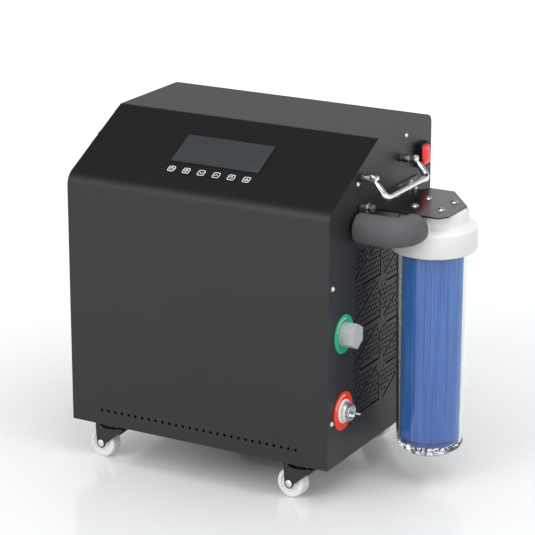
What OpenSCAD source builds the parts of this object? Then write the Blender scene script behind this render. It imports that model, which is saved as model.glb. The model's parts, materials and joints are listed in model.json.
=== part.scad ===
// Ice bath chiller: a sheet-metal cabinet on casters with a clear water filter on its right side.
// Inside the modules X runs from the cabinet's left side, Y from its front and Z up from the
// underside of its base. place() then puts the middle of the footprint at the origin, on the floor.

/* [Cabinet] */
// Width of the cabinet
case_w = 380; // [360:1:440]
// Depth of the cabinet
case_d = 284; // [276:1:330]
// Height of the cabinet without its casters
case_h = 400; // [394:1:430]
// Height of the front face, up to the corner of its bend
front_h = 332; // [326:1:338]
// Depth of the sloped control face, seen from above
slope_run = 130; // [124:1:136]
// Thickness of the sheet metal
sheet_t = 1.2; // [1:0.1:1.6]
// Radius of the bend between the front and the slope
front_bend_r = 20; // [10:1:26]
// Radius of the bend between the slope and the top
top_bend_r = 9; // [5:1:16]
// Radius of the bend at the rear of the top
rear_bend_r = 13; // [6:1:18]
// Width of the flanges folded inwards along the edges
flange_w = 22; // [20:1:24]
// Height of the lip that the top folds down at the rear
rear_lip = 16; // [15:1:22]
// Height of the base tray's rim
tray_lip = 14; // [10:1:16]
// Thickness of the base tray
tray_t = 1.5; // [1.2:0.1:2.5]
// Diameter of the drain hole in the base tray
drain_d = 12; // [8:1:16]

/* [Front holes] */
// Number of holes in the row along the front's foot
foot_hole_count = 29; // [15:1:31]
// Diameter of these holes
foot_hole_d = 4; // [2:0.5:5]
// Height of the row
foot_hole_z = 20; // [19:1:26]
// Distance of the first and last hole from the cabinet's sides
foot_hole_edge = 45.5; // [40:0.5:60]

/* [Side vents] */
// Distance of the vent's middle column from the front
vent_y = 143; // [140:1:146]
// Height of the lowest knot of slots
vent_z = 46; // [40:1:52]
// Height of one bay of the pattern
vent_bay = 56.5; // [54:0.5:57]
// Number of bays, one above the other
vent_bays = 4; // [1:1:4]
// Half the width of the vent
vent_half_w = 72; // [60:1:73]
// Width of the long slots
slot_w = 2.6; // [2:0.1:3]
// Diameter of the round perforations
perf_d = 3.7; // [2.5:0.1:4.2]
// Distance between perforations in a row
perf_pitch = 7.1; // [6.8:0.1:9]

/* [Control face] */
// Width of the display window
screen_w = 130; // [110:1:140]
// Height of the display window along the slope
screen_h = 54; // [45:1:58]
// Distance of the window's lower edge from the front bend
screen_from_bend = 54; // [51:0.5:58]
// Thickness of the window's rim above the sheet
screen_rim_t = 0.8; // [0.5:0.1:1.5]
// Depth of the step by which the window sits in the sheet
screen_step = 2; // [1.5:0.1:3]
// Side of one key
key_w = 11; // [9:0.5:12]
// Corner radius of a key
key_r = 2.5; // [1:0.5:3.5]
// Distance between keys
key_pitch = 21.8; // [18:0.2:23]
// Distance of the keys' centres from the front bend
key_from_bend = 40.5; // [36:0.5:42]
// How far a key stands above the sheet
key_proud = 0.8; // [0.7:0.1:1.5]
// How far a key goes in
key_travel = 0.5; // [0.3:0.1:0.6]

/* [Power switch] */
// Distance of the switch frame from the front
switch_y = 238; // [232:1:240]
// Height of the switch frame's lower edge
switch_z = 337; // [330:1:342]
// Width of the frame
switch_w = 25.5; // [22:0.5:28]
// Height of the frame
switch_h = 31; // [28:0.5:34]
// How far the frame stands out of the panel
switch_depth = 9; // [7:0.5:10]
// Width of the frame's rim
switch_rim = 1.6; // [1.4:0.1:3]
// Tilt of the rocker at rest
rocker_tilt = 6; // [4:0.5:7]
// How far the rocker's ends stand above the frame
rocker_proud = 4; // [2:0.5:5]

/* [Carrying handles] */
// Distance of the handle's middle from the front
handle_y = 140; // [136:1:142]
// Distance between the two posts
handle_span = 107; // [90:1:110]
// Height of the posts
handle_z = 361; // [358:1:366]
// Diameter of a post
post_d = 10.5; // [10:0.5:13]
// Length of a post's round part
post_l = 13; // [10:0.5:16]
// Distance of the hinge pin beyond the post's round part
pin_out = 5.2; // [5:0.1:7]
// Diameter of the hinge pin
pin_d = 4; // [3:0.5:5]
// Thickness of the tongue on a post
tongue_t = 4.2; // [3:0.2:6]
// Diameter of the bail's rod
bail_rod_d = 8; // [6:0.5:8.5]
// Distance from the hinge pin to the grip
bail_arm = 29; // [27:0.5:31]
// Radius of the bail's corners
bail_bend_r = 8; // [6:0.5:12]
// Thickness of the bail's eyes
eye_t = 4.4; // [3.5:0.1:6]
// Angle of the bail below the horizontal when it rests on its stops
bail_drop = 50; // [40:1:56]

/* [Filter bracket] */
// Distance of the filter's axis from the side panel
filter_out = 65; // [62:1:75]
// Distance of the filter's axis from the front
filter_y = 159; // [158:1:164]
// Height of the bracket plate's upper face
plate_z = 317; // [316:1:320]
// Thickness of the bracket
plate_t = 2; // [1.5:0.1:3]
// How far the plate reaches from the filter's axis towards the front
plate_front = 53.5; // [50:0.5:54]
// How far the plate reaches from the filter's axis towards the rear
plate_rear = 66; // [60:0.5:68]
// How far the plate reaches past the filter's axis
plate_past = 39; // [39:0.5:44]
// Half the length of the wall flange
flange_half_l = 84; // [80:1:88]
// Height of the wall flange
flange_h = 17; // [15:0.5:19]
// How much of the wall flange hangs below the plate
flange_below = 5; // [3:0.5:6]
// Distance of the wall bolts from the filter's axis
wall_bolt_y = 60.5; // [60:0.5:70]
// Distance between the plate's screws across the panel
plate_screw_x = 36; // [30:1:40]
// Distance between the plate's screws along the panel
plate_screw_y = 39; // [30:1:42]
// Diameter of a wall bolt's shank
wall_bolt_d = 6; // [5:0.5:8]

/* [Filter housing] */
// Radius of the cap's round top
cap_top_r = 42.5; // [40:0.5:43]
// Radius of the cap's neck
cap_neck_r = 44; // [43.5:0.5:45]
// Radius of the cap's skirt
cap_skirt_r = 55.5; // [55.5:0.5:59]
// Height of the cap
cap_h = 54.5; // [53:0.5:57]
// Height of the skirt from its lower edge to its shoulder
skirt_h = 31; // [29:0.5:32]
// Wall of the cap over its chamber
cap_wall = 6; // [4:0.5:8]
// Radius of the cap's two port bosses
boss_r = 14.5; // [13:0.5:14.5]
// How far a boss reaches from the axis
boss_reach = 54.5; // [50:0.5:55]
// Radius of the ports' bores
boss_bore_r = 8; // [7.5:0.5:8]
// Radius of the bowl's threaded collar
collar_r = 50; // [49:0.5:51]
// Height of the threaded collar
collar_h = 20; // [18:0.5:22]
// Clearance between the collar and the skirt
thread_gap = 0.4; // [0.3:0.1:0.6]
// Radius of the bowl under the skirt
bowl_top_r = 47; // [46:0.5:48]
// Radius of the bowl at its foot
bowl_foot_r = 43; // [42.5:0.5:44]
// Length of the bowl below the skirt
bowl_h = 270; // [268:1:276]
// Wall of the bowl
bowl_wall = 3.2; // [2.6:0.2:3.4]
// Thickness of the bowl's floor
bowl_floor = 7; // [5:0.5:9]
// Height of the foot ring under the bowl
foot_ring_h = 6; // [3:0.5:8]
// Radius of the seal's cross-section
seal_r = 1.6; // [1.2:0.1:2]

/* [Filter cartridge] */
// Radius of the pleated cartridge
cartridge_r = 38.5; // [35:0.5:38.5]
// Radius of the hole through the cartridge
cartridge_bore_r = 14; // [12:0.5:16]
// Thickness of an end cap of the cartridge
end_cap_t = 5; // [3:0.5:8]
// Depth of a pleat
pleat_depth = 5; // [3:0.5:8]
// Number of pleats
pleat_count = 56; // [24:1:72]

/* [Outside hoses] */
// Distance of the insulated hose from the front where it leaves the panel
hose_y = 72; // [70:1:76]
// Diameter of the foam round the hose
foam_d = 38; // [36:1:43]
// Diameter of the hose
hose_d = 19; // [16:0.5:22]
// Wall of the hose
hose_wall = 3; // [2:0.5:4]
// Radius of the insulated hose's bend
hose_bend_r = 24; // [23:0.5:26]
// Diameter of the pipe behind the filter
rear_pipe_d = 18; // [16:0.5:20]
// Radius of that pipe's bend
rear_bend = 14; // [12:0.5:15]
// Wall of that pipe
rear_pipe_wall = 2.5; // [2:0.5:4]

/* [Water ports] */
// Distance of the ports from the front
port_y = 40; // [38:0.5:43]
// Height of the outlet port
outlet_z = 170; // [150:1:185]
// Height of the inlet port
inlet_z = 68; // [60:1:75]
// Diameter of the coloured rings
ring_d = 50; // [44:1:52]
// Thickness of the rings
ring_t = 1.2; // [0.8:0.1:2]
// Diameter of the ports' threaded body
port_d = 25; // [22:0.5:26]
// Diameter of the bore through a port
port_bore_d = 16; // [12:0.5:18]
// Diameter of the flange on a port
port_flange_d = 31; // [29:0.5:34]
// Thickness of that flange
port_flange_t = 2.5; // [2:0.5:4]
// How far the outlet's thread stands out of the flange
outlet_thread_l = 12; // [10:0.5:14]
// Thickness of the outlet cap's end
outlet_cap_end = 2.5; // [2:0.5:4]
// Diameter of the outlet cap over its corners
outlet_cap_d = 33; // [31:0.5:35]
// Thickness of the gasket in the cap
gasket_t = 1.5; // [1:0.1:2]
// Diameter of the inlet's nozzle
nozzle_d = 22; // [18:0.5:23]
// Length of the inlet's knurled barrel
barrel_l = 5; // [4:0.5:12]
// Length of the inlet's nozzle
nozzle_l = 4.5; // [4:0.5:9]
// Diameter of the valve stem
stem_d = 3.4; // [2:0.1:4]
// How far the valve stem stands out of the nozzle
stem_out = 12; // [8:0.5:13]

/* [Casters] */
// Height of a caster
caster_h = 54; // [50:0.5:60]
// Diameter of a wheel
wheel_d = 39; // [36:0.5:40]
// Width of a wheel
wheel_w = 17; // [12:0.5:18]
// Distance of a caster's swivel axis from the cabinet's side
caster_x = 48; // [44:1:60]
// Distance of a caster's swivel axis from the front and the rear
caster_y = 24; // [23:0.5:34]
// Distance of the wheel's axle from the swivel axis
caster_trail = 14; // [8:0.5:16]
// Direction in which the wheels trail, turned from the cabinet's left
caster_heading = 5; // [0:1:45]
// Side of the mounting plate
caster_plate_w = 40; // [38:1:42]
// Diameter of an axle
axle_d = 6; // [5:0.5:8]
// Thickness of the fork
fork_t = 2; // [1.5:0.1:2.5]

/* [Cooling unit] */
// Diameter of the compressor
compressor_d = 116; // [100:1:124]
// Height of the compressor
compressor_h = 150; // [120:1:160]
// Diameter of the water tank with the evaporator coil
tank_d = 104; // [90:1:110]
// Height of that tank
tank_h = 200; // [180:1:210]
// Width of the condenser
condenser_w = 230; // [200:1:240]
// Height of the condenser
condenser_h = 230; // [200:1:240]
// Depth of the condenser
condenser_t = 26; // [20:1:28]
// Number of fins on the condenser
fin_count = 30; // [10:1:40]
// Diameter of the fan rotor
fan_d = 190; // [160:1:196]
// Number of fan blades
blade_count = 5; // [3:1:7]
// Height of the fan's centre
fan_z = 180; // [160:1:200]
// Diameter of the opening in the rear panel
fan_hole_d = 204; // [200:1:210]
// Number of rings in the wire guard
guard_rings = 7; // [4:1:9]

/* [Hidden] */
$fn = 64;

// Cuts run past the faces that they open by this much
overrun = 2;
// Clearance of a pin in its bore, and of pieces that slide on each other
fit_gap = 0.05;
run_gap = 0.3;
hole_gap = 0.2;

// The slope and the sheet metal's outline
slope_angle = atan((case_h - front_h) / slope_run);
slope_l = norm([slope_run, case_h - front_h]);
seam = 0.4;

// Screws with domed heads
screw_head_d = 7.2;
screw_head_h = 2.4;
screw_d = 4;
screw_l = 9;
recess_w = 0.9;
recess_d = 1;
edge_in = 10.6;
low_screw_z = 60;
mid_screw_z = 237;
slope_screw_y = 75.7;
slope_screw_in = 15.6;
top_screw_y = 209;
top_screw_in = 13.6;
slope_screw_z = front_h + slope_screw_y * tan(slope_angle) - slope_screw_in / cos(slope_angle);
side_screws = [
  [edge_in, low_screw_z], [edge_in, mid_screw_z], [slope_screw_y, slope_screw_z],
  [top_screw_y, case_h - top_screw_in], [case_d - edge_in, low_screw_z],
  [case_d - edge_in, mid_screw_z]
];

// Parts of the vent pattern, from a knot of slots
knot_gap_y = 9.5;
knot_gap_z = 4;
slot_foot = 4.5;
slot_head = 16.5;
slot_rise = 35;
short_slot_y = 18;
short_slot_z = 9;
knot_clear = 12.5;
slot_clear = perf_d / 2 + slot_w / 2 + 0.7 * perf_d / 2;
slot_step = 0.03;

// Control parts under the slope
key_gap = 0.3;
key_flange = 1.2;
key_flange_t = 0.9;
board_w = 150;
board_t = 1.6;
board_top = 5;
board_edge = 8;
board_screw_in = 5;
standoff_r = 3;
dome_r_size = 3;
dome_gap = 0.15;
display_edge = 5;
chip_h = 8;
chip_w = 30;
key_count = 6;

// Switch parts
rocker_gap = 0.8;
rocker_pivot = 4;
rocker_floor = 1;
rocker_foot = 2.8;
rocker_pin_d = 3;
switch_body_in = 1.5;
switch_body_l = 22;
blade_w = 6;
blade_t = 0.8;
blade_l = 9;

// Handle parts
stud_d = 6;
stud_l = 10;
nut_w = 11.5;
nut_t = 5;
tongue_h = 9;
pin_head_d = 6.5;
pin_head_t = 1.2;
eye_gap = 0.15;
eye_d = 9.6;
eye_y = tongue_t / 2 + eye_gap + eye_t / 2;
pivot_x = post_l + pin_out;
rod_start = 5.4;
handle_ys = [handle_y - handle_span / 2, handle_y + handle_span / 2];
left_handle_back = 27;
left_ys = [for (y = handle_ys) y + left_handle_back];

// Filter positions
filter_x = case_w + filter_out;
cap_top_z = plate_z - plate_t;
skirt_z = cap_top_z - cap_h;
shoulder_z = skirt_z + skirt_h;
boss_below = 0.5;
boss_z = cap_top_z - boss_r - boss_below;
lip_to_pipe = 0.5;
plate_lip_h = plate_z - boss_z - rear_pipe_d / 2 - lip_to_pipe;
cap_edge = 1.5;
cap_shoulder = 6.5;
chamber_r = 32;
bridge_wall = 2;
seal_seat = 2 * seal_r + run_gap;
collar_top = skirt_z + collar_h;
bowl_z = skirt_z - bowl_h;
bowl_round = 9;
foot_ring_t = 6;
spigot_reach = 6;
spigot_wall = 3;
spigot_gap = 1;
corner_cut_x = 9;
corner_cut_y = 12;
slant_x = 42;
slant_y = 53;
slant_angle = atan(slant_x / slant_y);
slant_d = plate_past * cos(slant_angle) + (plate_rear - slant_y) * sin(slant_angle);
root_l = 20;
root_slant = 8;
bolt_head_d = 10;
bolt_head_h = 7;
bolt_socket_d = 5;
bolt_socket_h = 4;
washer_d = 13;
washer_t = 1.4;
bolt_l = 14;
pan_head_d = 10.5;
pan_head_h = 3.2;
pan_d = 5;
pan_l = 6;
cartridge_gap = 0.3;
cartridge_spare = 2.7;
cartridge_l = bowl_h - foot_ring_h - bowl_floor - cartridge_gap - cartridge_spare;

// Hoses and tails
tail_wall = 1.5;
tail_barb_l = 12;
foam_end = filter_y - cap_skirt_r - run_gap;
foam_start = case_w + plate_t + run_gap;
hose_in = 30;
grommet_gap = 0.5;

// Port parts
port_in = 16;
port_nut_d = 38;
port_nut_t = 6;
cap_round_l = 5;
cap_round_wall = 2.5;
cap_round_d = port_d + 2 * cap_round_wall;
barrel_d = 27;
nozzle_wall = 2;
poppet_r = nozzle_d / 2 - nozzle_wall;
poppet_t = 2;
poppet_gap = 0.3;
stem_in = 4;

// Casters, one row each: side of the cabinet and end of the cabinet, as 0 or 1
caster_ends = [[0, 0], [1, 0], [0, 1], [1, 1]];
plate_hole_in = 5.5;
caster_plate_t = 2.5;
race_d = 29;
race_t = 5;
king_d = 8;
king_head_d = 12;
king_head_t = 1;
fork_gap = 0.4;
fork_side_gap = 0.8;
fork_top_d = 38;
fork_reach = 22;
leg_round_r = 6.5;
axle_head_d = 10;
axle_head_t = 1.5;
hub_d = 15;
hub_out = 0.5;
tread_w = 13;
tread_cut = 1.5;
wheel_cut = 2.5;
wheel_rim = 6;
axle_z = wheel_d / 2 - caster_h;
race_bottom = -caster_plate_t - race_t;
fork_top_z = race_bottom - fork_gap;

// Positions inside the cabinet
condenser_from_rear = 95;
condenser_y = case_d - condenser_from_rear;
compressor_clear = 19;
line_ahead = 12;
compressor_x = 84;
compressor_y = condenser_y - compressor_clear - compressor_d / 2;
compressor_foot_h = 12;
compressor_foot_d = 18;
foot_inset = 8;
compressor_foot_out = compressor_d / 2 - foot_inset;
compressor_plate_t = 3;
compressor_dome = 20;
terminal_w = 36;
terminal_h = 44;
tank_x = 228;
tank_y = compressor_y;
tank_foot_h = 12;
tank_band_h = 12;
tank_band_t = 1.5;
tank_port_r = 11;
tank_port_l = 16;
tank_low_share = 0.5;
tank_high_share = 0.86;
condenser_x = case_w / 2;
condenser_foot = 20;
condenser_tube_r = 4.5;
condenser_plate_t = 1.5;
tube_row_share = [1/8, 3/8, 5/8, 7/8];
fin_t = 0.8;
fan_x = case_w / 2;
fan_frame_t = 2;
fan_ring_t = 3;
fan_depth = 32;
fan_to_rear = 8;
rotor_gap = 3;
hub_r = 26;
hub_l = 18;
blade_pitch = 32;
blade_root_share = 0.5;
fan_blade_t = 2.2;
motor_r = 24;
motor_l = 26;
motor_shaft_r = 3;
motor_arm_w = 14;
guard_wire_r = 1.4;
guard_spoke_t = 2;
guard_hub_r = 17;
guard_lug = 14;
pump_x = 318;
pump_y = 62;
pump_z = inlet_z;
pump_r = 28;
pump_l = 62;
pump_head_l = 30;
pump_stub = 5;
pump_head_r = 36;
pump_foot_w = 50;
pump_foot_t = 3;
pump_port_r = 11;
pump_port_l = 14;
psu_w = 46;
psu_h = 110;
psu_d = 92;
psu_z = 210;
psu_ahead = 69;
psu_y = condenser_y - psu_ahead;
inlet_x = 50;
mains_z = 70;
mains_w = 48;
mains_h = 28;
mains_plate_w = 60;
mains_plate_t = 2.5;
mains_body = 24;
mains_pin_w = 2;
mains_pin_h = 4;
mains_pin_l = 14;
mains_well = 18;
line_r = 8;
copper_r = 4;
elbow_share = 1.25;

// The footprint's middle and the floor, to which place() moves everything
bail_out = pivot_x + bail_arm * cos(bail_drop) + bail_rod_d / 2;
left_reach = max(bail_out, pivot_x + eye_d / 2);
right_reach = filter_out + cap_skirt_r;
guard_reach = guard_spoke_t + 1.5 * guard_wire_r;
middle_x = (case_w + right_reach - left_reach) / 2;
middle_y = (case_d + max(guard_reach, guard_spoke_t + screw_head_h)) / 2;

module place() {
  translate([-middle_x, -middle_y, caster_h]) children();
}

// Rounded outlines: each corner gets its own radius, and 0 leaves it sharp
function unit(v) = v / norm(v);
function to_last(p, i) = unit(p[(i + len(p) - 1) % len(p)] - p[i]);
function to_next(p, i) = unit(p[(i + 1) % len(p)] - p[i]);
function half_corner(p, i) = acos(to_last(p, i) * to_next(p, i)) / 2;
function corner_cut(p, r, i) = r[i] > 0
  ? [p[i] + to_last(p, i) * r[i] / tan(half_corner(p, i)),
   p[i] + to_next(p, i) * r[i] / tan(half_corner(p, i))]
  : [p[i]];
function corner_centre(p, r, i) =
  p[i] + unit(to_last(p, i) + to_next(p, i)) * r[i] / sin(half_corner(p, i));

module rounded_outline(p, r) {
  polygon([for (i = [0:len(p) - 1]) each corner_cut(p, r, i)]);
  for (i = [0:len(p) - 1]) if (r[i] > 0) translate(corner_centre(p, r, i)) circle(r = r[i]);
}

module rounded_rect(w, h, r) {
  rounded_outline([[-w / 2, -h / 2], [w / 2, -h / 2], [w / 2, h / 2], [-w / 2, h / 2]], [r, r, r, r]);
}

// A box given by its lowest corner and its highest corner
module block(low, high) {
  translate(low) cube(high - low);
}

// Pieces that face out of the right side, the left side, the rear or the front
module facing_right(y, z) {
  translate([case_w, y, z]) rotate([0, 90, 0]) children();
}

module facing_left(y, z) {
  translate([0, y, z]) rotate([0, -90, 0]) children();
}

module facing_rear(x, z) {
  translate([x, case_d, z]) rotate([-90, 0, 0]) children();
}

module along_x(from, l) {
  translate([from, 0, 0]) rotate([90, 0, 90]) linear_extrude(l) children();
}

// The slope's own frame: Y runs up the slope and Z out of it
module on_slope(x, s) {
  translate([x, 0, front_h]) rotate([slope_angle, 0, 0]) translate([0, s, 0]) children();
}

module tube(r, bore, l) {
  difference() {
    cylinder(r = r, h = l);
    translate([0, 0, -overrun]) cylinder(r = bore, h = l + 2 * overrun);
  }
}

// A quarter bend of a round rod in the XY plane, from +X round to +Y
module quarter_bend(bend, r) {
  rotate_extrude(angle = 90) translate([bend, 0]) circle(r = r);
}

// A run of pipe through a list of points, with round elbows a little wider than the pipe
module pipe_run(points, r) {
  for (i = [0:len(points) - 2]) {
    leg = points[i + 1] - points[i];
    translate(points[i])
      rotate([0, acos(leg[2] / norm(leg)), atan2(leg[1], leg[0])]) cylinder(r = r, h = norm(leg));
    if (i > 0) translate(points[i]) sphere(r = elbow_share * r);
  }
}

// Fasteners
function dome_r(d, h) = (h * h + d * d / 4) / (2 * h);

module dome_head(d, h) {
  rotate_extrude() intersection() {
    translate([0, h - dome_r(d, h)]) circle(r = dome_r(d, h));
    square([d / 2, h]);
  }
}

module cross_recess(d, h) {
  for (a = [0, 90]) rotate([0, 0, a])
    block([-d / 4, -recess_w / 2, h - recess_d], [d / 4, recess_w / 2, h + overrun]);
}

module dome_screw() {
  difference() {
    dome_head(screw_head_d, screw_head_h);
    cross_recess(screw_head_d, screw_head_h);
  }
  translate([0, 0, -screw_l]) cylinder(d = screw_d, h = screw_l);
}

module screw_hole() {
  translate([0, 0, -screw_l - overrun]) cylinder(r = screw_d / 2 + hole_gap, h = screw_l + 2 * overrun);
}

// The cabinet's side outline, drawn inwards by a distance, on Y and Z
function slope_top(d) =
  d * sin(slope_angle) + (case_h - d - front_h + d * cos(slope_angle)) / tan(slope_angle);
function outline_points(d) = let (foot = d > 0 ? -overrun : 0) [
  [d, foot], [d, front_h + d * tan(slope_angle) - d / cos(slope_angle)], [slope_top(d), case_h - d],
  [case_d - d, case_h - d], [case_d - d, foot]
];

function outline_radii(d) =
  [0, max(front_bend_r - d, 0), max(top_bend_r - d, 0), max(rear_bend_r - d, 0), 0];

module case_outline(d) {
  rounded_outline(outline_points(d), outline_radii(d));
}

module panel_blank(x) {
  p = outline_points(0);
  r = outline_radii(0);
  along_x(x, sheet_t) polygon([for (i = [0:len(p) - 1]) each corner_cut(p, r, i)]);
  for (i = [1:3]) along_x(x, sheet_t) translate(corner_centre(p, r, i)) circle(r = r[i]);
}

module open_rear() {
  translate([case_d - flange_w, -overrun])
    square([flange_w + overrun, case_h - rear_lip + overrun]);
}

// Vent pattern on Y and Z: long slots that meet in knots, and perforations between them
function knot(k) = [vent_y, vent_z + k * vent_bay];
function upright_slot(k) = let (y = -knot_gap_z / 2)
  [knot(k) + [y, slot_foot], knot(k) + [y, vent_bay - slot_head]];
function left_slot(k) =
  [knot(k) + [-knot_gap_z / 2, slot_foot], knot(k) + [-vent_half_w + short_slot_y, slot_foot]];
function left_slant(k) =
  [knot(k) + [-knot_gap_y, -knot_gap_z], knot(k) + [-vent_half_w, -knot_gap_z - slot_rise]];
function right_slant(k) =
  [knot(k) + [knot_gap_y, knot_gap_z], knot(k) + [vent_half_w, knot_gap_z + slot_rise]];
function right_slot(k) = [knot(k) + [short_slot_y, -short_slot_z], knot(k) + [vent_half_w, -short_slot_z]];
function vent_slots() = [
  for (k = [0:vent_bays - 1]) each [upright_slot(k), left_slot(k), right_slant(k)],
  for (k = [1:vent_bays]) each [left_slant(k), right_slot(k)]
];
function along(p, a, b) = max(0, min(1, ((p - a) * (b - a)) / ((b - a) * (b - a))));
function slot_distance(p, s) = norm(p - s[0] - (s[1] - s[0]) * along(p, s[0], s[1]));
function clear_of(p, slots) = min([for (s = slots) slot_distance(p, s)]) > slot_clear;
function clear_of_knots(p) = min([for (k = [0:vent_bays]) norm(p - knot(k))]) > knot_clear;
function above_foot(p) = p[0] < vent_y
  ? p[1] > vent_z + slot_foot
  : p[1] > vent_z + knot_gap_z + (p[0] - vent_y - knot_gap_y) * slot_rise / (vent_half_w - knot_gap_y);
function vent_perforations() = let (
  row = perf_pitch * sin(60),
  rows = floor(vent_bays * vent_bay / row) - 1,
  columns = floor(vent_half_w / perf_pitch),
  slots = vent_slots()
) [
  for (j = [0:rows], i = [-columns:columns])
    let (p = [vent_y + (i + (j % 2) / 2) * perf_pitch, vent_z + (j + 1/2) * row])
    if (p[0] < vent_y + vent_half_w && clear_of(p, slots) && clear_of_knots(p) && above_foot(p)) p
];

module slot(s) {
  run = s[1] - s[0];
  translate(s[0]) rotate(atan2(run[1], run[0])) translate([0, slot_step - slot_w / 2])
    square([norm(run), slot_w - 2 * slot_step]);
  for (end = s) translate(end) circle(d = slot_w, $fn = 24);
}

module vents() {
  for (s = vent_slots()) slot(s);
  for (p = vent_perforations()) translate(p) circle(d = perf_d, $fn = 16);
}

// Cabinet
module base_tray() {
  low = 2 * sheet_t;
  color("#2b2b2e") place() difference() {
    block([low, sheet_t, 0], [case_w - low, case_d - sheet_t, tray_lip]);
    block([low + tray_t, sheet_t + tray_t, tray_t],
      [case_w - low - tray_t, case_d - sheet_t - tray_t, tray_lip + overrun]);
    translate([condenser_x, condenser_y / 2, -overrun]) cylinder(d = drain_d, h = tray_t + 2 * overrun);
    casters() plate_corners() translate([0, 0, -overrun])
      cylinder(r = screw_d / 2 + hole_gap, h = tray_t + 2 * overrun);
  }
}

module front_shell() {
  color("#3a3a3c") place() difference() {
    union() {
      along_x(sheet_t, case_w - 2 * sheet_t) difference() {
        case_outline(0);
        case_outline(sheet_t);
        open_rear();
      }
      for (x = [sheet_t, case_w - 2 * sheet_t]) along_x(x, sheet_t) difference() {
        case_outline(sheet_t / 2);
        case_outline(flange_w);
        open_rear();
        translate([0, -overrun]) square([case_d, overrun]);
      }
    }
    for (i = [0:foot_hole_count - 1])
      translate([foot_hole_edge + i * (case_w - 2 * foot_hole_edge) / (foot_hole_count - 1),
        -overrun, foot_hole_z])
        rotate([-90, 0, 0]) cylinder(d = foot_hole_d, h = sheet_t + 2 * overrun, $fn = 24);
    on_slope(case_w / 2, screen_from_bend + screen_h / 2)
      block([screen_step - screen_w / 2, screen_step - screen_h / 2, -sheet_t - overrun],
        [screen_w / 2 - screen_step, screen_h / 2 - screen_step, overrun]);
    for (i = [0:key_count - 1]) at_key(i) translate([0, 0, -sheet_t - overrun])
      linear_extrude(sheet_t + 2 * overrun)
      rounded_rect(key_w + 2 * key_gap, key_w + 2 * key_gap, key_r + key_gap);
    for (s = side_screws) {
      facing_right(s[0], s[1]) screw_hole();
      facing_left(s[0], s[1]) screw_hole();
    }
    for (y = handle_ys) facing_right(y, handle_z) stud_hole();
    for (y = left_ys) facing_left(y, handle_z) stud_hole();
  }
}

module stud_hole() {
  translate([0, 0, -flange_w]) cylinder(r = stud_d / 2 + hole_gap, h = flange_w + overrun);
}

module panel_holes(post_ys) {
  vents();
  for (s = side_screws) translate(s) circle(r = screw_d / 2 + hole_gap);
  for (y = post_ys) translate([y, handle_z]) circle(r = stud_d / 2 + hole_gap);
}

module right_panel() {
  color("#38383b") place() difference() {
    panel_blank(case_w - sheet_t);
    along_x(case_w - sheet_t - overrun, sheet_t + 2 * overrun) {
      panel_holes(handle_ys);
      for (side = [-1, 1]) translate([filter_y + side * wall_bolt_y, wall_bolt_z()])
        circle(r = wall_bolt_d / 2 + hole_gap);
      for (z = [inlet_z, outlet_z]) translate([port_y, z]) circle(r = port_d / 2 + hole_gap);
      translate([hose_y, boss_z]) circle(r = hose_d / 2 + grommet_gap);
      translate([rear_pipe_y(), boss_z]) circle(r = rear_pipe_d / 2 + grommet_gap);
      translate([switch_y + switch_body_in, switch_z + switch_body_in])
        square([switch_w - 2 * switch_body_in, switch_h - 2 * switch_body_in]);
    }
  }
}

module left_panel() {
  color("#38383b") place() difference() {
    panel_blank(0);
    along_x(-overrun, sheet_t + 2 * overrun) panel_holes(left_ys);
  }
}

module rear_panel() {
  top = case_h - rear_lip - seam;
  color("#38383b") place() difference() {
    union() {
      block([sheet_t, case_d - sheet_t, 0], [case_w - sheet_t, case_d, top]);
      for (x = [sheet_t, case_w - 2 * sheet_t])
        block([x, case_d - flange_w + seam, 0], [x + sheet_t, case_d - sheet_t / 2, top]);
      block([flange_w, case_d - 2 * sheet_t, top - flange_w],
        [case_w - flange_w, case_d - sheet_t, case_h - rear_bend_r]);
    }
    translate([fan_x, case_d - sheet_t - overrun, fan_z]) rotate([-90, 0, 0])
      cylinder(d = fan_hole_d, h = sheet_t + 2 * overrun);
    block([inlet_x - mains_w / 2 - hole_gap, case_d - sheet_t - overrun, mains_z - mains_h / 2 - hole_gap],
      [inlet_x + mains_w / 2 + hole_gap, case_d + overrun, mains_z + mains_h / 2 + hole_gap]);
    for (s = side_screws) {
      facing_right(s[0], s[1]) screw_hole();
      facing_left(s[0], s[1]) screw_hole();
    }
    for (p = guard_corners()) facing_rear(p[0], p[1]) screw_hole();
  }
}

module dome_screws() {
  color("#c9ccd0") place() {
    for (s = side_screws) {
      facing_right(s[0], s[1]) dome_screw();
      facing_left(s[0], s[1]) dome_screw();
    }
    for (p = guard_corners()) facing_rear(p[0], p[1]) translate([0, 0, guard_spoke_t]) dome_screw();
    casters() plate_corners() translate([0, 0, -caster_plate_t]) rotate([180, 0, 0]) dome_screw();
  }
}

// Control face
module at_key(i) {
  on_slope(case_w / 2 + (i - (key_count - 1) / 2) * key_pitch, key_from_bend) children();
}

module display_window() {
  color("#4c4f50") place() on_slope(case_w / 2, screen_from_bend + screen_h / 2) {
    linear_extrude(screen_rim_t) rounded_rect(screen_w, screen_h, screen_step);
    translate([0, 0, -sheet_t])
      linear_extrude(sheet_t) rounded_rect(screen_w - 2 * screen_step - hole_gap,
        screen_h - 2 * screen_step - hole_gap, screen_step);
  }
}

module key(i) {
  color("#f2f2f2") place() at_key(i) {
    translate([0, 0, -sheet_t - key_flange_t])
      linear_extrude(sheet_t + key_flange_t + key_proud) rounded_rect(key_w, key_w, key_r);
    translate([0, 0, -sheet_t - key_flange_t])
      linear_extrude(key_flange_t - fit_gap)
      rounded_rect(key_w + 2 * key_flange, key_w + 2 * key_flange, key_r + key_flange);
  }
}

module key_1() {
  key(0);
}

module key_2() {
  key(1);
}

module key_3() {
  key(2);
}

module key_4() {
  key(3);
}

module key_5() {
  key(4);
}

module key_6() {
  key(5);
}

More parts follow.
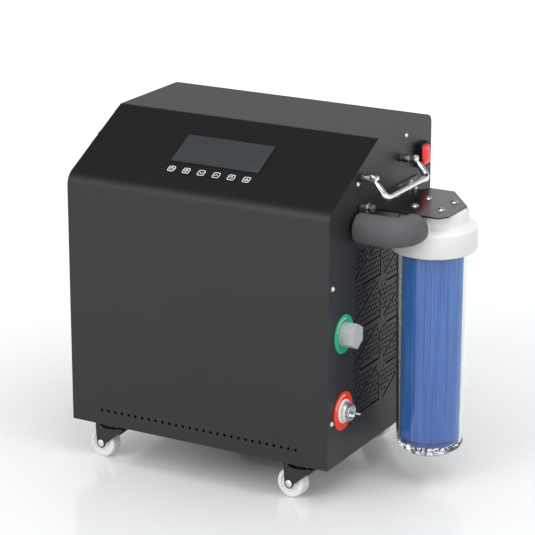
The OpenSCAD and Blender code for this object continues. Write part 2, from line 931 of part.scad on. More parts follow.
module control_board() {
  low_s = key_from_bend - key_w / 2 - board_edge;
  high_s = screen_from_bend + screen_h + board_edge;
  underside = -sheet_t - board_top;
  dome_top = -sheet_t - key_flange_t - key_travel - dome_gap;
  color("#1f6b3a") place() on_slope(case_w / 2, 0) {
    block([-board_w / 2, low_s, underside - board_t], [board_w / 2, high_s, underside]);
    block([display_edge - screen_w / 2, screen_from_bend + display_edge, underside],
      [screen_w / 2 - display_edge, screen_from_bend + screen_h - display_edge, -sheet_t]);
    for (x = [-1, 1], s = [low_s + board_screw_in, high_s - board_screw_in])
      translate([x * (board_w / 2 - board_screw_in), s, underside])
        cylinder(r = standoff_r, h = board_top);
    for (i = [0:key_count - 1])
      translate([(i - (key_count - 1) / 2) * key_pitch, key_from_bend, underside])
        cylinder(r = dome_r_size, h = dome_top - underside);
    block([-chip_w / 2, (low_s + high_s) / 2, underside - board_t - chip_h],
      [chip_w / 2, (low_s + high_s) / 2 + chip_w, underside - board_t]);
  }
}

// Power switch, drawn with its face along local Z and its top towards local -X
module at_switch() {
  facing_right(switch_y + switch_w / 2, switch_z + switch_h / 2) children();
}

module switch_frame() {
  opening_h = switch_h - 2 * switch_rim;
  opening_w = switch_w - 2 * switch_rim;
  body_h = switch_h - 2 * switch_body_in - hole_gap;
  body_w = switch_w - 2 * switch_body_in - hole_gap;
  color("#101012") place() at_switch() difference() {
    union() {
      linear_extrude(switch_depth) rounded_rect(switch_h, switch_w, switch_rim);
      block([-body_h / 2, -body_w / 2, -switch_body_l], [body_h / 2, body_w / 2, overrun]);
      for (x = [-1, 0, 1])
        block([x * body_h / 3 - blade_t / 2, -blade_w / 2, -switch_body_l - blade_l],
          [x * body_h / 3 + blade_t / 2, blade_w / 2, -switch_body_l + overrun]);
    }
    translate([0, 0, rocker_floor]) linear_extrude(switch_depth)
      rounded_rect(opening_h, opening_w, switch_rim / 2);
    translate([0, -switch_w / 2 - overrun, rocker_pivot]) rotate([-90, 0, 0])
      cylinder(r = rocker_pin_d / 2 + fit_gap, h = switch_w + 2 * overrun);
  }
}

module switch_rocker() {
  half_h = switch_h / 2 - switch_rim - rocker_gap;
  half_w = switch_w / 2 - switch_rim - run_gap;
  crest = switch_depth + rocker_proud - rocker_pivot;
  foot = rocker_foot - rocker_pivot;
  color("#e8302f", 0.9) place() at_switch() translate([0, 0, rocker_pivot]) rotate([0, -rocker_tilt, 0]) {
    translate([0, half_w, 0]) rotate([90, 0, 0]) linear_extrude(2 * half_w) difference() {
      translate([-half_h, foot]) square([2 * half_h, crest - foot]);
      translate([0, crest + dome_r(2 * half_h, rocker_proud) - rocker_proud])
        circle(r = dome_r(2 * half_h, rocker_proud));
    }
    translate([0, -switch_w / 2 + rocker_gap, 0]) rotate([-90, 0, 0])
      cylinder(d = rocker_pin_d, h = switch_w - 2 * rocker_gap);
  }
}

// Handles
module post(side) {
  cylinder(d = post_d, h = post_l);
  translate([0, tongue_t / 2, 0]) rotate([90, 0, 0]) linear_extrude(tongue_t) {
    translate([-tongue_h / 2, post_l - overrun]) square([tongue_h, pin_out + overrun]);
    translate([0, pivot_x]) circle(d = tongue_h);
  }
  translate([0, 0, pivot_x]) rotate([side > 0 ? -90 : 90, 0, 0]) {
    cylinder(d = pin_d, h = eye_y + eye_t / 2 + eye_gap + overrun / 2);
    translate([0, 0, eye_y + eye_t / 2 + eye_gap]) cylinder(d = pin_head_d, h = pin_head_t);
  }
  translate([0, 0, -stud_l]) cylinder(d = stud_d, h = stud_l + overrun);
  translate([0, 0, -2 * sheet_t - nut_t]) cylinder(d = nut_w, h = nut_t, $fn = 6);
}

module handle_posts() {
  color("#8f9296") place() for (i = [0, 1]) {
    facing_right(handle_ys[i], handle_z) post(2 * i - 1);
    facing_left(left_ys[i], handle_z) post(2 * i - 1);
  }
}

// The bail with its arms along +X from the pin, and its grip along Y
module bail() {
  arm_y = handle_span / 2 + eye_y;
  rod = bail_rod_d / 2;
  for (side = [0, 1]) mirror([0, side, 0]) {
    difference() {
      union() {
        translate([0, arm_y + eye_t / 2, 0]) rotate([90, 0, 0]) cylinder(d = eye_d, h = eye_t);
        block([0, arm_y - eye_t / 2, -rod], [rod_start + rod / 2, arm_y + eye_t / 2, rod]);
      }
      translate([0, arm_y + eye_t / 2 + overrun, 0]) rotate([90, 0, 0])
        cylinder(r = pin_d / 2 + fit_gap, h = eye_t + 2 * overrun);
    }
    translate([rod_start, arm_y, 0]) rotate([0, 90, 0])
      cylinder(r = rod, h = bail_arm - bail_bend_r - rod_start);
    translate([bail_arm - bail_bend_r, arm_y - bail_bend_r, 0]) quarter_bend(bail_bend_r, rod);
    translate([bail_arm, 0, 0]) rotate([-90, 0, 0]) cylinder(r = rod, h = arm_y - bail_bend_r);
  }
}

module right_bail() {
  color("#eceff1") place() translate([case_w + pivot_x, handle_y, handle_z])
    rotate([0, bail_drop, 0]) bail();
}

module left_bail() {
  color("#eceff1") place() translate([-pivot_x, handle_y + left_handle_back, handle_z])
    rotate([0, 180 - bail_drop, 0]) bail();
}

// Filter bracket
function wall_bolt_z() = plate_z - plate_t - flange_below + flange_h / 2;

module plate_holes(r) {
  for (x = [-1, 1], y = [-1, 1])
    translate([filter_x + x * plate_screw_x / 2, filter_y + y * plate_screw_y / 2, 0])
      cylinder(r = r, h = 2 * plate_z);
}

module lip_wall(a, b) {
  run = b - a;
  translate([a[0], a[1], plate_z - plate_lip_h]) rotate([0, 0, atan2(run[1], run[0])])
    cube([norm(run), plate_t, plate_lip_h]);
}

module filter_bracket() {
  right = filter_x + plate_past;
  low_y = filter_y - plate_front;
  high_y = filter_y + plate_rear;
  slant_low = [right, high_y - slant_y];
  color("#131315") place() difference() {
    union() {
      translate([0, 0, plate_z - plate_t]) linear_extrude(plate_t) polygon([
        [case_w, low_y], [right - corner_cut_x, low_y], [right, low_y + corner_cut_y], slant_low,
        [right - slant_x, high_y], [case_w + root_l + root_slant, high_y],
        [case_w + root_l, filter_y + plate_front], [case_w, filter_y + plate_front]
      ]);
      block([case_w, filter_y - flange_half_l, plate_z - plate_t - flange_below],
        [case_w + plate_t, filter_y + flange_half_l, plate_z - plate_t - flange_below + flange_h]);
      lip_wall(slant_low, [right - slant_x, high_y]);
    }
    plate_holes(pan_d / 2 + hole_gap);
    for (side = [-1, 1]) facing_right(filter_y + side * wall_bolt_y, wall_bolt_z())
      translate([0, 0, -overrun]) cylinder(r = wall_bolt_d / 2 + hole_gap, h = plate_t + 2 * overrun);
  }
}

module bracket_screws() {
  color("#d4d6d8") place() {
    for (x = [-1, 1], y = [-1, 1])
      translate([filter_x + x * plate_screw_x / 2, filter_y + y * plate_screw_y / 2, plate_z]) {
        difference() {
          dome_head(pan_head_d, pan_head_h);
          cross_recess(pan_head_d, pan_head_h);
        }
        translate([0, 0, -pan_l]) cylinder(d = pan_d, h = pan_l);
      }
    for (side = [-1, 1]) facing_right(filter_y + side * wall_bolt_y, wall_bolt_z()) {
      translate([0, 0, plate_t]) cylinder(d = washer_d, h = washer_t);
      difference() {
        translate([0, 0, plate_t + washer_t]) cylinder(d = bolt_head_d, h = bolt_head_h);
        translate([0, 0, plate_t + washer_t + bolt_head_h - bolt_socket_h])
          cylinder(d = bolt_socket_d, h = bolt_socket_h + overrun, $fn = 6);
      }
      translate([0, 0, plate_t - bolt_l]) cylinder(d = wall_bolt_d, h = bolt_l);
      translate([0, 0, -sheet_t - nut_t]) cylinder(d = nut_w, h = nut_t, $fn = 6);
    }
  }
}

// Filter housing, all of it turned about the filter's axis
module at_filter(z) {
  translate([filter_x, filter_y, z]) children();
}

module filter_cap() {
  mouth_r = collar_r + thread_gap;
  ceiling = collar_top + seal_seat;
  color("#ececec") place() {
    difference() {
      union() {
        at_filter(0) rotate_extrude() polygon([
          [0, cap_top_z], [cap_top_r, cap_top_z], [cap_neck_r, cap_top_z - cap_edge],
          [cap_neck_r, shoulder_z + cap_shoulder], [cap_skirt_r - cap_edge, shoulder_z + cap_edge / 2],
          [cap_skirt_r, shoulder_z - cap_edge], [cap_skirt_r, skirt_z + 2 * cap_edge],
          [cap_skirt_r - cap_edge, skirt_z], [0, skirt_z]
        ]);
        for (a = [90, -90]) at_filter(boss_z) rotate([a, 0, 0]) cylinder(r = boss_r, h = boss_reach);
      }
      at_filter(skirt_z - overrun) cylinder(r = mouth_r, h = ceiling - skirt_z + overrun);
      at_filter(ceiling - overrun)
        cylinder(r = chamber_r, h = cap_top_z - cap_wall - ceiling + overrun);
      for (a = [90, -90]) at_filter(boss_z) rotate([a, 0, 0]) translate([0, 0, chamber_r / 2])
        cylinder(r = boss_bore_r, h = boss_reach);
      for (x = [-1, 1], y = [-1, 1])
        translate([filter_x + x * plate_screw_x / 2, filter_y + y * plate_screw_y / 2, cap_top_z - pan_l])
          cylinder(r = pan_d / 2 + hole_gap, h = pan_l + overrun);
      at_filter(plate_z - plate_lip_h - run_gap) rotate([0, 0, slant_angle])
        block([slant_d - plate_t - run_gap, -cap_skirt_r, 0], [cap_skirt_r, cap_skirt_r, plate_lip_h]);
    }
    spigot();
  }
}

// The cap's inner spigot plugs the cartridge's hole, and a bridge leads its water to the rear port
module spigot() {
  top = cap_top_z - cap_wall;
  tip = cartridge_top() - spigot_reach;
  outer = cartridge_bore_r - spigot_gap;
  difference() {
    union() {
      at_filter(tip) cylinder(r = outer, h = top - tip + fit_gap);
      at_filter(boss_z) rotate([-90, 0, 0])
        cylinder(r = boss_bore_r + bridge_wall, h = chamber_r + fit_gap);
    }
    at_filter(tip - overrun) cylinder(r = outer - spigot_wall, h = top - tip + overrun);
    at_filter(boss_z) rotate([-90, 0, 0]) cylinder(r = boss_bore_r, h = boss_reach);
  }
}

function cartridge_z() = bowl_z + foot_ring_h + bowl_floor + cartridge_gap;
function cartridge_top() = cartridge_z() + cartridge_l;

module filter_bowl() {
  floor_z = bowl_z + foot_ring_h;
  color("#d8ecf6", 0.35) place() at_filter(0) rotate_extrude() polygon([
    [0, floor_z], [bowl_foot_r - bowl_round - foot_ring_t, floor_z],
    [bowl_foot_r - bowl_round - foot_ring_t, bowl_z], [bowl_foot_r - bowl_round, bowl_z],
    [bowl_foot_r - bowl_round / 3, floor_z + bowl_round / 6], [bowl_foot_r, floor_z + bowl_round],
    [bowl_top_r, skirt_z - run_gap], [collar_r, skirt_z - run_gap + (collar_r - bowl_top_r)],
    [collar_r, collar_top], [bowl_top_r - bowl_wall, collar_top], [bowl_top_r - bowl_wall, skirt_z],
    [bowl_foot_r - bowl_wall, floor_z + bowl_round + bowl_floor],
    [bowl_foot_r - bowl_wall, floor_z + bowl_floor], [0, floor_z + bowl_floor]
  ]);
}

module bowl_seal() {
  color("#202022") place() at_filter(collar_top + seal_r)
    rotate_extrude() translate([collar_r - 2 * seal_r, 0]) circle(r = seal_r, $fn = 24);
}

function pleat_point(i) = let (r = i % 2 == 0 ? cartridge_r - end_cap_t / 10 : cartridge_r - pleat_depth)
  [r * cos(i * 180 / pleat_count), r * sin(i * 180 / pleat_count)];

module cartridge_media() {
  color("#4a72b5") place() at_filter(cartridge_z() + end_cap_t) difference() {
    linear_extrude(cartridge_l - 2 * end_cap_t)
      polygon([for (i = [0:2 * pleat_count - 1]) pleat_point(i)]);
    translate([0, 0, -overrun]) cylinder(r = cartridge_bore_r, h = cartridge_l);
  }
}

module cartridge_ends() {
  color("#3a63a8") place() for (z = [0, cartridge_l - end_cap_t])
    at_filter(cartridge_z() + z) tube(cartridge_r, cartridge_bore_r, end_cap_t);
}

// Outside hoses
module hose_tails() {
  start = boss_reach - tail_barb_l;
  tail_r = hose_d / 2 - hose_wall - fit_gap;
  color("#1c1c1e") place() {
    at_filter(boss_z) rotate([90, 0, 0]) translate([0, 0, start]) difference() {
      union() {
        cylinder(r = boss_bore_r - fit_gap, h = tail_barb_l);
        cylinder(r = tail_r, h = 2 * tail_barb_l);
      }
      translate([0, 0, -overrun]) cylinder(r = tail_r - tail_wall, h = 2 * tail_barb_l + 2 * overrun);
    }
    at_filter(boss_z) rotate([-90, 0, 0]) translate([0, 0, start])
      tube(boss_bore_r - fit_gap, boss_bore_r - tail_wall, tail_barb_l);
  }
}

module bent_hose(r, start_x, end_y) {
  corner_x = filter_x - hose_bend_r;
  translate([start_x, hose_y, boss_z]) rotate([0, 90, 0]) cylinder(r = r, h = corner_x - start_x);
  translate([corner_x, hose_y + hose_bend_r, boss_z]) rotate([0, 0, -90]) quarter_bend(hose_bend_r, r);
  translate([filter_x, hose_y + hose_bend_r, boss_z]) rotate([-90, 0, 0])
    cylinder(r = r, h = end_y - hose_y - hose_bend_r);
}

module front_hose() {
  start_x = case_w - hose_in;
  color("#2a2a2c") place() difference() {
    bent_hose(hose_d / 2, start_x, filter_y - boss_reach);
    bent_hose(hose_d / 2 - hose_wall, start_x - overrun, filter_y - boss_reach + overrun);
  }
}

module front_hose_foam() {
  color("#6b6b70") place() difference() {
    bent_hose(foam_d / 2, foam_start, foam_end);
    bent_hose(hose_d / 2 + fit_gap, foam_start - overrun, foam_end + overrun);
  }
}

function rear_pipe_y() = filter_y + boss_reach + rear_bend;

module rear_bent(r, past) {
  corner_x = filter_x - rear_bend;
  translate([corner_x, rear_pipe_y() - rear_bend, boss_z]) quarter_bend(rear_bend, r);
  translate([case_w - hose_in - past, rear_pipe_y(), boss_z]) rotate([0, 90, 0])
    cylinder(r = r, h = corner_x - case_w + hose_in + past);
  if (past > 0) translate([filter_x, rear_pipe_y() - rear_bend - past, boss_z]) rotate([-90, 0, 0])
    cylinder(r = r, h = past + fit_gap);
}

module rear_pipe() {
  color("#1c1c1e") place() difference() {
    rear_bent(rear_pipe_d / 2, 0);
    rear_bent(rear_pipe_d / 2 - rear_pipe_wall, overrun);
  }
}

// Water ports
module outlet_ring() {
  color("#12a35a") place() facing_right(port_y, outlet_z) tube(ring_d / 2, port_d / 2 + hole_gap, ring_t);
}

module inlet_ring() {
  color("#ff4520") place() facing_right(port_y, inlet_z) tube(ring_d / 2, port_d / 2 + hole_gap, ring_t);
}

flange_top = ring_t + port_flange_t;

module outlet_fitting() {
  color("#b9bcbf") place() facing_right(port_y, outlet_z) difference() {
    union() {
      translate([0, 0, -port_in]) cylinder(d = port_d, h = port_in + flange_top + outlet_thread_l);
      translate([0, 0, ring_t]) cylinder(d = port_flange_d, h = port_flange_t);
    }
    translate([0, 0, -port_in - overrun])
      cylinder(d = port_bore_d, h = port_in + flange_top + outlet_thread_l + 2 * overrun);
  }
}

module cap_gasket() {
  color("#202022") place() facing_right(port_y, outlet_z)
    translate([0, 0, flange_top + outlet_thread_l + fit_gap])
    cylinder(r = port_d / 2 - run_gap, h = gasket_t);
}

module outlet_cap() {
  seat = flange_top + outlet_thread_l + gasket_t + 3 * fit_gap;
  start = flange_top + run_gap;
  color("#b5b8bb") place() facing_right(port_y, outlet_z) difference() {
    union() {
      translate([0, 0, start]) cylinder(d = cap_round_d, h = cap_round_l);
      translate([0, 0, start + cap_round_l / 2])
        cylinder(d = outlet_cap_d, h = seat + outlet_cap_end - start - cap_round_l / 2, $fn = 6);
    }
    translate([0, 0, start - overrun])
      cylinder(r = port_d / 2 + fit_gap, h = seat - start + overrun);
  }
}

module inlet_fitting() {
  tip = flange_top + barrel_l + nozzle_l;
  color("#9a9da1") place() facing_right(port_y, inlet_z) difference() {
    union() {
      translate([0, 0, -port_in]) cylinder(d = port_d, h = port_in + flange_top + overrun);
      translate([0, 0, ring_t]) cylinder(d = port_flange_d, h = port_flange_t);
      translate([0, 0, flange_top - overrun / 2]) cylinder(d = barrel_d, h = barrel_l + overrun / 2);
      translate([0, 0, flange_top]) cylinder(d = nozzle_d, h = barrel_l + nozzle_l);
    }
    translate([0, 0, -port_in - overrun])
      cylinder(r = poppet_r + poppet_gap, h = port_in + tip + 2 * overrun);
  }
}

module inlet_stem() {
  tip = flange_top + barrel_l + nozzle_l;
  color("#dfe2e4") place() facing_right(port_y, inlet_z) {
    translate([0, 0, tip - stem_in]) cylinder(d = stem_d, h = stem_in + stem_out);
    translate([0, 0, tip - stem_in - poppet_t]) cylinder(r = poppet_r, h = poppet_t + fit_gap);
  }
}

module port_nuts() {
  color("#1c1c1e") place() for (z = [inlet_z, outlet_z])
    facing_right(port_y, z) translate([0, 0, -sheet_t - port_nut_t]) difference() {
      cylinder(d = port_nut_d, h = port_nut_t, $fn = 6);
      translate([0, 0, -overrun]) cylinder(r = port_d / 2 + fit_gap, h = port_nut_t + 2 * overrun);
    }
}

// Casters, in their own frame: the swivel axis at the origin and the wheel trailing towards -X
module caster_at(c) {
  translate([c[0] == 0 ? caster_x : case_w - caster_x, c[1] == 0 ? caster_y : case_d - caster_y, 0])
    children();
}

module casters() {
  for (c = caster_ends) caster_at(c) children();
}

module plate_corners() {
  reach = caster_plate_w / 2 - plate_hole_in;
  for (x = [-1, 1], y = [-1, 1]) translate([x * reach, y * reach, 0]) children();
}

module turned() {
  rotate([0, 0, -caster_heading]) children();
}

module caster_plates() {
  color("#1a1a1c") place() casters() difference() {
    union() {
      translate([0, 0, -caster_plate_t])
        linear_extrude(caster_plate_t) rounded_rect(caster_plate_w, caster_plate_w, plate_hole_in);
      translate([0, 0, race_bottom]) cylinder(d = race_d, h = race_t + fit_gap);
    }
    translate([0, 0, race_bottom - overrun]) cylinder(r = king_d / 2 + fit_gap, h = race_t + 2 * overrun);
    translate([0, 0, -king_head_t - 2 * run_gap])
      cylinder(r = king_head_d / 2 + run_gap, h = king_head_t + 2 * run_gap + overrun);
    plate_corners() translate([0, 0, -caster_plate_t - overrun])
      cylinder(r = screw_d / 2 + hole_gap, h = caster_plate_t + 2 * overrun);
  }
}

module fork_leg(y) {
  low = [-caster_trail, axle_z];
  translate([0, y + fork_t, 0]) rotate([90, 0, 0]) linear_extrude(fork_t) difference() {
    union() {
      polygon([
        [-fork_reach, fork_top_z], [fork_reach, fork_top_z], [fork_reach, fork_top_z - fork_t],
        low + [leg_round_r, 0], low - [leg_round_r, 0], [-fork_reach, fork_top_z - fork_t]
      ]);
      translate(low) circle(r = leg_round_r);
    }
    translate(low) circle(r = axle_d / 2 + fit_gap);
  }
}

module caster_fork(c) {
  inner = wheel_w / 2 + fork_side_gap;
  color("#1e1e20") place() caster_at(c) turned() {
    translate([0, 0, fork_top_z - fork_t]) cylinder(d = fork_top_d, h = fork_t);
    block([-fork_reach, -inner - fork_t, fork_top_z - fork_t], [fork_reach, inner + fork_t, fork_top_z]);
    translate([0, 0, fork_top_z - fork_t]) cylinder(d = king_d, h = -fork_top_z + fork_t - run_gap);
    translate([0, 0, -king_head_t - run_gap]) cylinder(d = king_head_d, h = king_head_t);
    for (y = [inner, -inner - fork_t]) fork_leg(y);
    translate([-caster_trail, 0, axle_z]) rotate([90, 0, 0]) {
      translate([0, 0, -inner - fork_t - fit_gap]) cylinder(d = axle_d, h = 2 * (inner + fork_t + fit_gap));
      for (m = [0, 1]) mirror([0, 0, m]) translate([0, 0, inner + fork_t + fit_gap])
        dome_head(axle_head_d, axle_head_t);
    }
  }
}

module caster_wheel(c) {
  half = wheel_w / 2;
  color("#f4f4f2") place() caster_at(c) turned() translate([-caster_trail, 0, axle_z]) rotate([90, 0, 0])
    rotate_extrude() polygon([
      [axle_d / 2 + fit_gap, -half - hub_out], [hub_d / 2, -half - hub_out], [hub_d / 2, -half + wheel_cut],
      [wheel_d / 2 - wheel_rim, -half + wheel_cut], [wheel_d / 2 - wheel_rim, -half],
      [wheel_d / 2 - tread_cut, -half], [wheel_d / 2, -tread_w / 2], [wheel_d / 2, tread_w / 2],
      [wheel_d / 2 - tread_cut, half], [wheel_d / 2 - wheel_rim, half],
      [wheel_d / 2 - wheel_rim, half - wheel_cut], [hub_d / 2, half - wheel_cut],
      [hub_d / 2, half + hub_out], [axle_d / 2 + fit_gap, half + hub_out]
    ]);
}

module caster_fork_fl() {
  caster_fork(caster_ends[0]);
}

module caster_fork_fr() {
  caster_fork(caster_ends[1]);
}

module caster_fork_rl() {
  caster_fork(caster_ends[2]);
}

module caster_fork_rr() {
  caster_fork(caster_ends[3]);
}

module caster_wheel_fl() {
  caster_wheel(caster_ends[0]);
}

module caster_wheel_fr() {
  caster_wheel(caster_ends[1]);
}

module caster_wheel_rl() {
  caster_wheel(caster_ends[2]);
}

module caster_wheel_rr() {
  caster_wheel(caster_ends[3]);
}

// Cooling unit
module at_compressor_feet() {
  for (a = [45:90:315]) translate([compressor_x + compressor_foot_out * sqrt(2) * cos(a),
    compressor_y + compressor_foot_out * sqrt(2) * sin(a), 0]) children();
}

module compressor() {
  base = tray_t + compressor_foot_h;
  half = compressor_foot_out + compressor_foot_d / 2;
  top = base + compressor_plate_t + compressor_h - compressor_dome;
  color("#1b1b1d") place() {
    difference() {
      block([compressor_x - half, compressor_y - half, base],
        [compressor_x + half, compressor_y + half, base + compressor_plate_t]);
      at_compressor_feet() translate([0, 0, base - overrun])
        cylinder(r = compressor_foot_d / 4 + hole_gap, h = compressor_plate_t + 2 * overrun);
    }
    translate([compressor_x, compressor_y, base])
      cylinder(d = compressor_d, h = top - base);
    translate([compressor_x, compressor_y, top])
      cylinder(d1 = compressor_d, d2 = compressor_d - 2 * compressor_dome, h = compressor_dome);
    block([compressor_x - terminal_w / 2, compressor_y - compressor_d / 2 - terminal_w / 3,
      top - 2 * terminal_h], [compressor_x + terminal_w / 2, compressor_y, top - terminal_h]);
  }
}

module compressor_feet() {
  color("#101011") place() at_compressor_feet() {
    translate([0, 0, tray_t]) cylinder(d = compressor_foot_d, h = compressor_foot_h - fit_gap);
    translate([0, 0, tray_t])
      cylinder(d = compressor_foot_d / 2, h = compressor_foot_h + 2 * compressor_plate_t);
  }
}

module condenser() {
  low_x = condenser_x - condenser_w / 2;
  high_x = condenser_x + condenser_w / 2;
  low_z = tray_t + condenser_foot;
  high_z = low_z + condenser_h;
  color("#b8bcc0") place() {
    for (x = [low_x, high_x - condenser_plate_t])
      block([x, condenser_y, tray_t], [x + condenser_plate_t, condenser_y + condenser_t, high_z]);
    for (z = [low_z, high_z - condenser_plate_t])
      block([low_x, condenser_y, z], [high_x, condenser_y + condenser_t, z + condenser_plate_t]);
    for (i = [1:fin_count - 1]) let (x = low_x + i * condenser_w / fin_count)
      block([x - fin_t / 2, condenser_y + condenser_plate_t, low_z],
        [x + fin_t / 2, condenser_y + condenser_t - condenser_plate_t, high_z]);
    for (s = tube_row_share)
      translate([low_x - 2 * condenser_tube_r, condenser_y + condenser_t / 2, low_z + s * condenser_h])
        rotate([0, 90, 0]) cylinder(r = condenser_tube_r, h = condenser_w + 4 * condenser_tube_r);
  }
}

// Fan: a plate with a ring behind the rear panel, the motor on a cross bar, and the rotor
rotor_y = case_d - fan_to_rear - fan_depth / 2;
frame_y = case_d - fan_to_rear - fan_depth;

module fan_frame() {
  ring_r = fan_d / 2 + rotor_gap + fan_ring_t;
  low_x = fan_x - condenser_w / 2;
  high_x = fan_x + condenser_w / 2;
  color("#202124") place() {
    difference() {
      union() {
        block([low_x, frame_y, tray_t], [high_x, frame_y + fan_frame_t, fan_z + ring_r]);
        translate([fan_x, frame_y, fan_z]) rotate([-90, 0, 0])
          cylinder(r = ring_r, h = fan_depth + fan_to_rear - sheet_t);
      }
      translate([fan_x, frame_y - overrun, fan_z]) rotate([-90, 0, 0])
        cylinder(r = fan_d / 2 + rotor_gap, h = fan_depth + fan_to_rear + overrun);
    }
    difference() {
      block([fan_x - ring_r + fan_ring_t / 2, frame_y, fan_z - motor_arm_w / 2],
        [fan_x + ring_r - fan_ring_t / 2, frame_y + fan_frame_t, fan_z + motor_arm_w / 2]);
      translate([fan_x, frame_y - overrun, fan_z]) rotate([-90, 0, 0])
        cylinder(r = motor_shaft_r + hole_gap, h = fan_frame_t + 2 * overrun);
    }
  }
}

module fan_motor() {
  color("#3c3d40") place() translate([fan_x, frame_y, fan_z]) rotate([90, 0, 0]) {
    shaft_l = rotor_y - frame_y + hub_l / 4;
    cylinder(r = motor_r, h = motor_l);
    translate([0, 0, -shaft_l]) cylinder(r = motor_shaft_r, h = shaft_l + overrun);
  }
}

module fan_rotor() {
  color("#dedfe0") place() translate([fan_x, rotor_y - hub_l / 2, fan_z]) rotate([-90, 0, 0]) difference() {
    union() {
      cylinder(r = hub_r, h = hub_l);
      for (i = [0:blade_count - 1]) rotate([0, 0, i * 360 / blade_count])
        intersection() {
          translate([0, 0, hub_l / 2]) rotate([blade_pitch, 0, 0])
            block([hub_r * blade_root_share, -fan_d / 5, -fan_blade_t / 2],
              [fan_d / 2 + overrun, fan_d / 5, fan_blade_t / 2]);
          translate([0, 0, hub_l / 2 - fan_depth / 2 + rotor_gap])
            cylinder(d = fan_d, h = fan_depth - 2 * rotor_gap);
        }
    }
    translate([0, 0, -overrun]) cylinder(r = motor_shaft_r + fit_gap, h = hub_l - motor_shaft_r + overrun);
  }
}

function guard_corners() = [for (a = [45:90:315])
  [fan_x + (fan_hole_d / 2 + guard_lug / 2) * cos(a), fan_z + (fan_hole_d / 2 + guard_lug / 2) * sin(a)]];

module fan_guard() {
  outer = fan_hole_d / 2 + guard_wire_r;
  color("#1d1e20") place() facing_rear(fan_x, fan_z) difference() {
    union() {
      for (i = [1:guard_rings]) let (r = guard_hub_r + i * (outer - guard_hub_r) / guard_rings)
        translate([0, 0, guard_spoke_t / 2])
        tube(r + guard_wire_r, r - guard_wire_r, guard_reach - guard_spoke_t / 2);
      cylinder(r = guard_hub_r, h = guard_reach - guard_wire_r);
      for (a = [0:45:315]) rotate([0, 0, a])
        block([guard_hub_r / 2, -guard_wire_r, 0], [outer, guard_wire_r, guard_spoke_t]);
      for (a = [45:90:315]) rotate([0, 0, a])
        translate([fan_hole_d / 2 + guard_lug / 2, 0, 0]) cylinder(d = guard_lug, h = guard_spoke_t);
    }
    for (a = [45:90:315]) rotate([0, 0, a]) translate([fan_hole_d / 2 + guard_lug / 2, 0, -overrun])
      cylinder(r = screw_d / 2 + hole_gap, h = guard_spoke_t + 2 * overrun);
  }
}

module water_tank() {
  base = tray_t + tank_foot_h;
  color("#1f2022") place() translate([tank_x, tank_y, base]) difference() {
    union() {
      cylinder(d = tank_d, h = tank_h);
      for (z = [0, tank_h - tank_band_h])
        translate([0, 0, z]) cylinder(r = tank_d / 2 + tank_band_t, h = tank_band_h);
      for (s = [tank_low_share, tank_high_share]) translate([0, 0, s * tank_h]) rotate([0, 90, 0])
        cylinder(r = tank_port_r, h = tank_d / 2 + tank_port_l);
      for (a = [0:90:270]) rotate([0, 0, a]) translate([tank_d / 3, 0, -tank_foot_h])
        cylinder(r = tank_port_r / 2, h = tank_foot_h + overrun);
    }
    for (s = [tank_low_share, tank_high_share]) translate([tank_d / 3, 0, s * tank_h]) rotate([0, 90, 0])
      cylinder(r = line_r - hose_wall, h = tank_d);
  }
}

module water_pump() {
  color("#26282b") place() {
    translate([pump_x, pump_y, pump_z]) rotate([-90, 0, 0]) {
      cylinder(r = pump_r, h = pump_l);
      translate([0, 0, -pump_head_l]) cylinder(r = pump_head_r, h = pump_head_l);
    }
    block([pump_x - pump_foot_w / 2, pump_y, tray_t],
      [pump_x + pump_foot_w / 2, pump_y + pump_l, tray_t + pump_foot_t]);
    block([pump_x - pump_foot_t, pump_y, tray_t], [pump_x + pump_foot_t, pump_y + pump_l, pump_z]);
    translate([pump_x, pump_y - pump_head_l / 2, pump_z])
      cylinder(r = pump_port_r, h = pump_head_r + pump_port_l);
    translate([pump_x, port_y, inlet_z]) rotate([0, 90, 0])
      cylinder(r = pump_port_r - hose_wall, h = pump_head_r + pump_stub);
  }
}

// Water runs from the inlet to the pump, the tank, the filter and back to the outlet
module water_lines() {
  tank_port_x = tank_x + tank_d / 2 + tank_port_l;
  low_z = tray_t + tank_foot_h + tank_low_share * tank_h;
  high_z = tray_t + tank_foot_h + tank_high_share * tank_h;
  pump_top = pump_z + pump_head_r + pump_port_l;
  pump_mid = pump_y - pump_head_l / 2;
  color("#3a3b3e") place() {
    pipe_run([[pump_x, pump_mid, pump_top], [pump_x, pump_mid, pump_top + 2 * line_r],
      [tank_port_x + 2 * line_r, tank_y, pump_top + 2 * line_r],
      [tank_port_x + 2 * line_r, tank_y, low_z], [tank_port_x, tank_y, low_z]], line_r);
    pipe_run([[tank_port_x, tank_y, high_z], [tank_port_x + 2 * line_r, tank_y, high_z],
      [tank_port_x + 2 * line_r, hose_y, boss_z], [case_w - hose_in, hose_y, boss_z]], line_r);
    pipe_run([[case_w - port_in, port_y, outlet_z], [case_w - hose_in - line_r, port_y, outlet_z],
      [case_w - hose_in - line_r, rear_pipe_y() - 4 * line_r, outlet_z + 4 * line_r],
      [case_w - hose_in - line_r, rear_pipe_y(), boss_z],
      [case_w - hose_in, rear_pipe_y(), boss_z]], line_r);
    pipe_run([[case_w - port_in, port_y, inlet_z], [pump_x + pump_head_r + pump_stub, port_y, inlet_z]],
      line_r);
  }
}

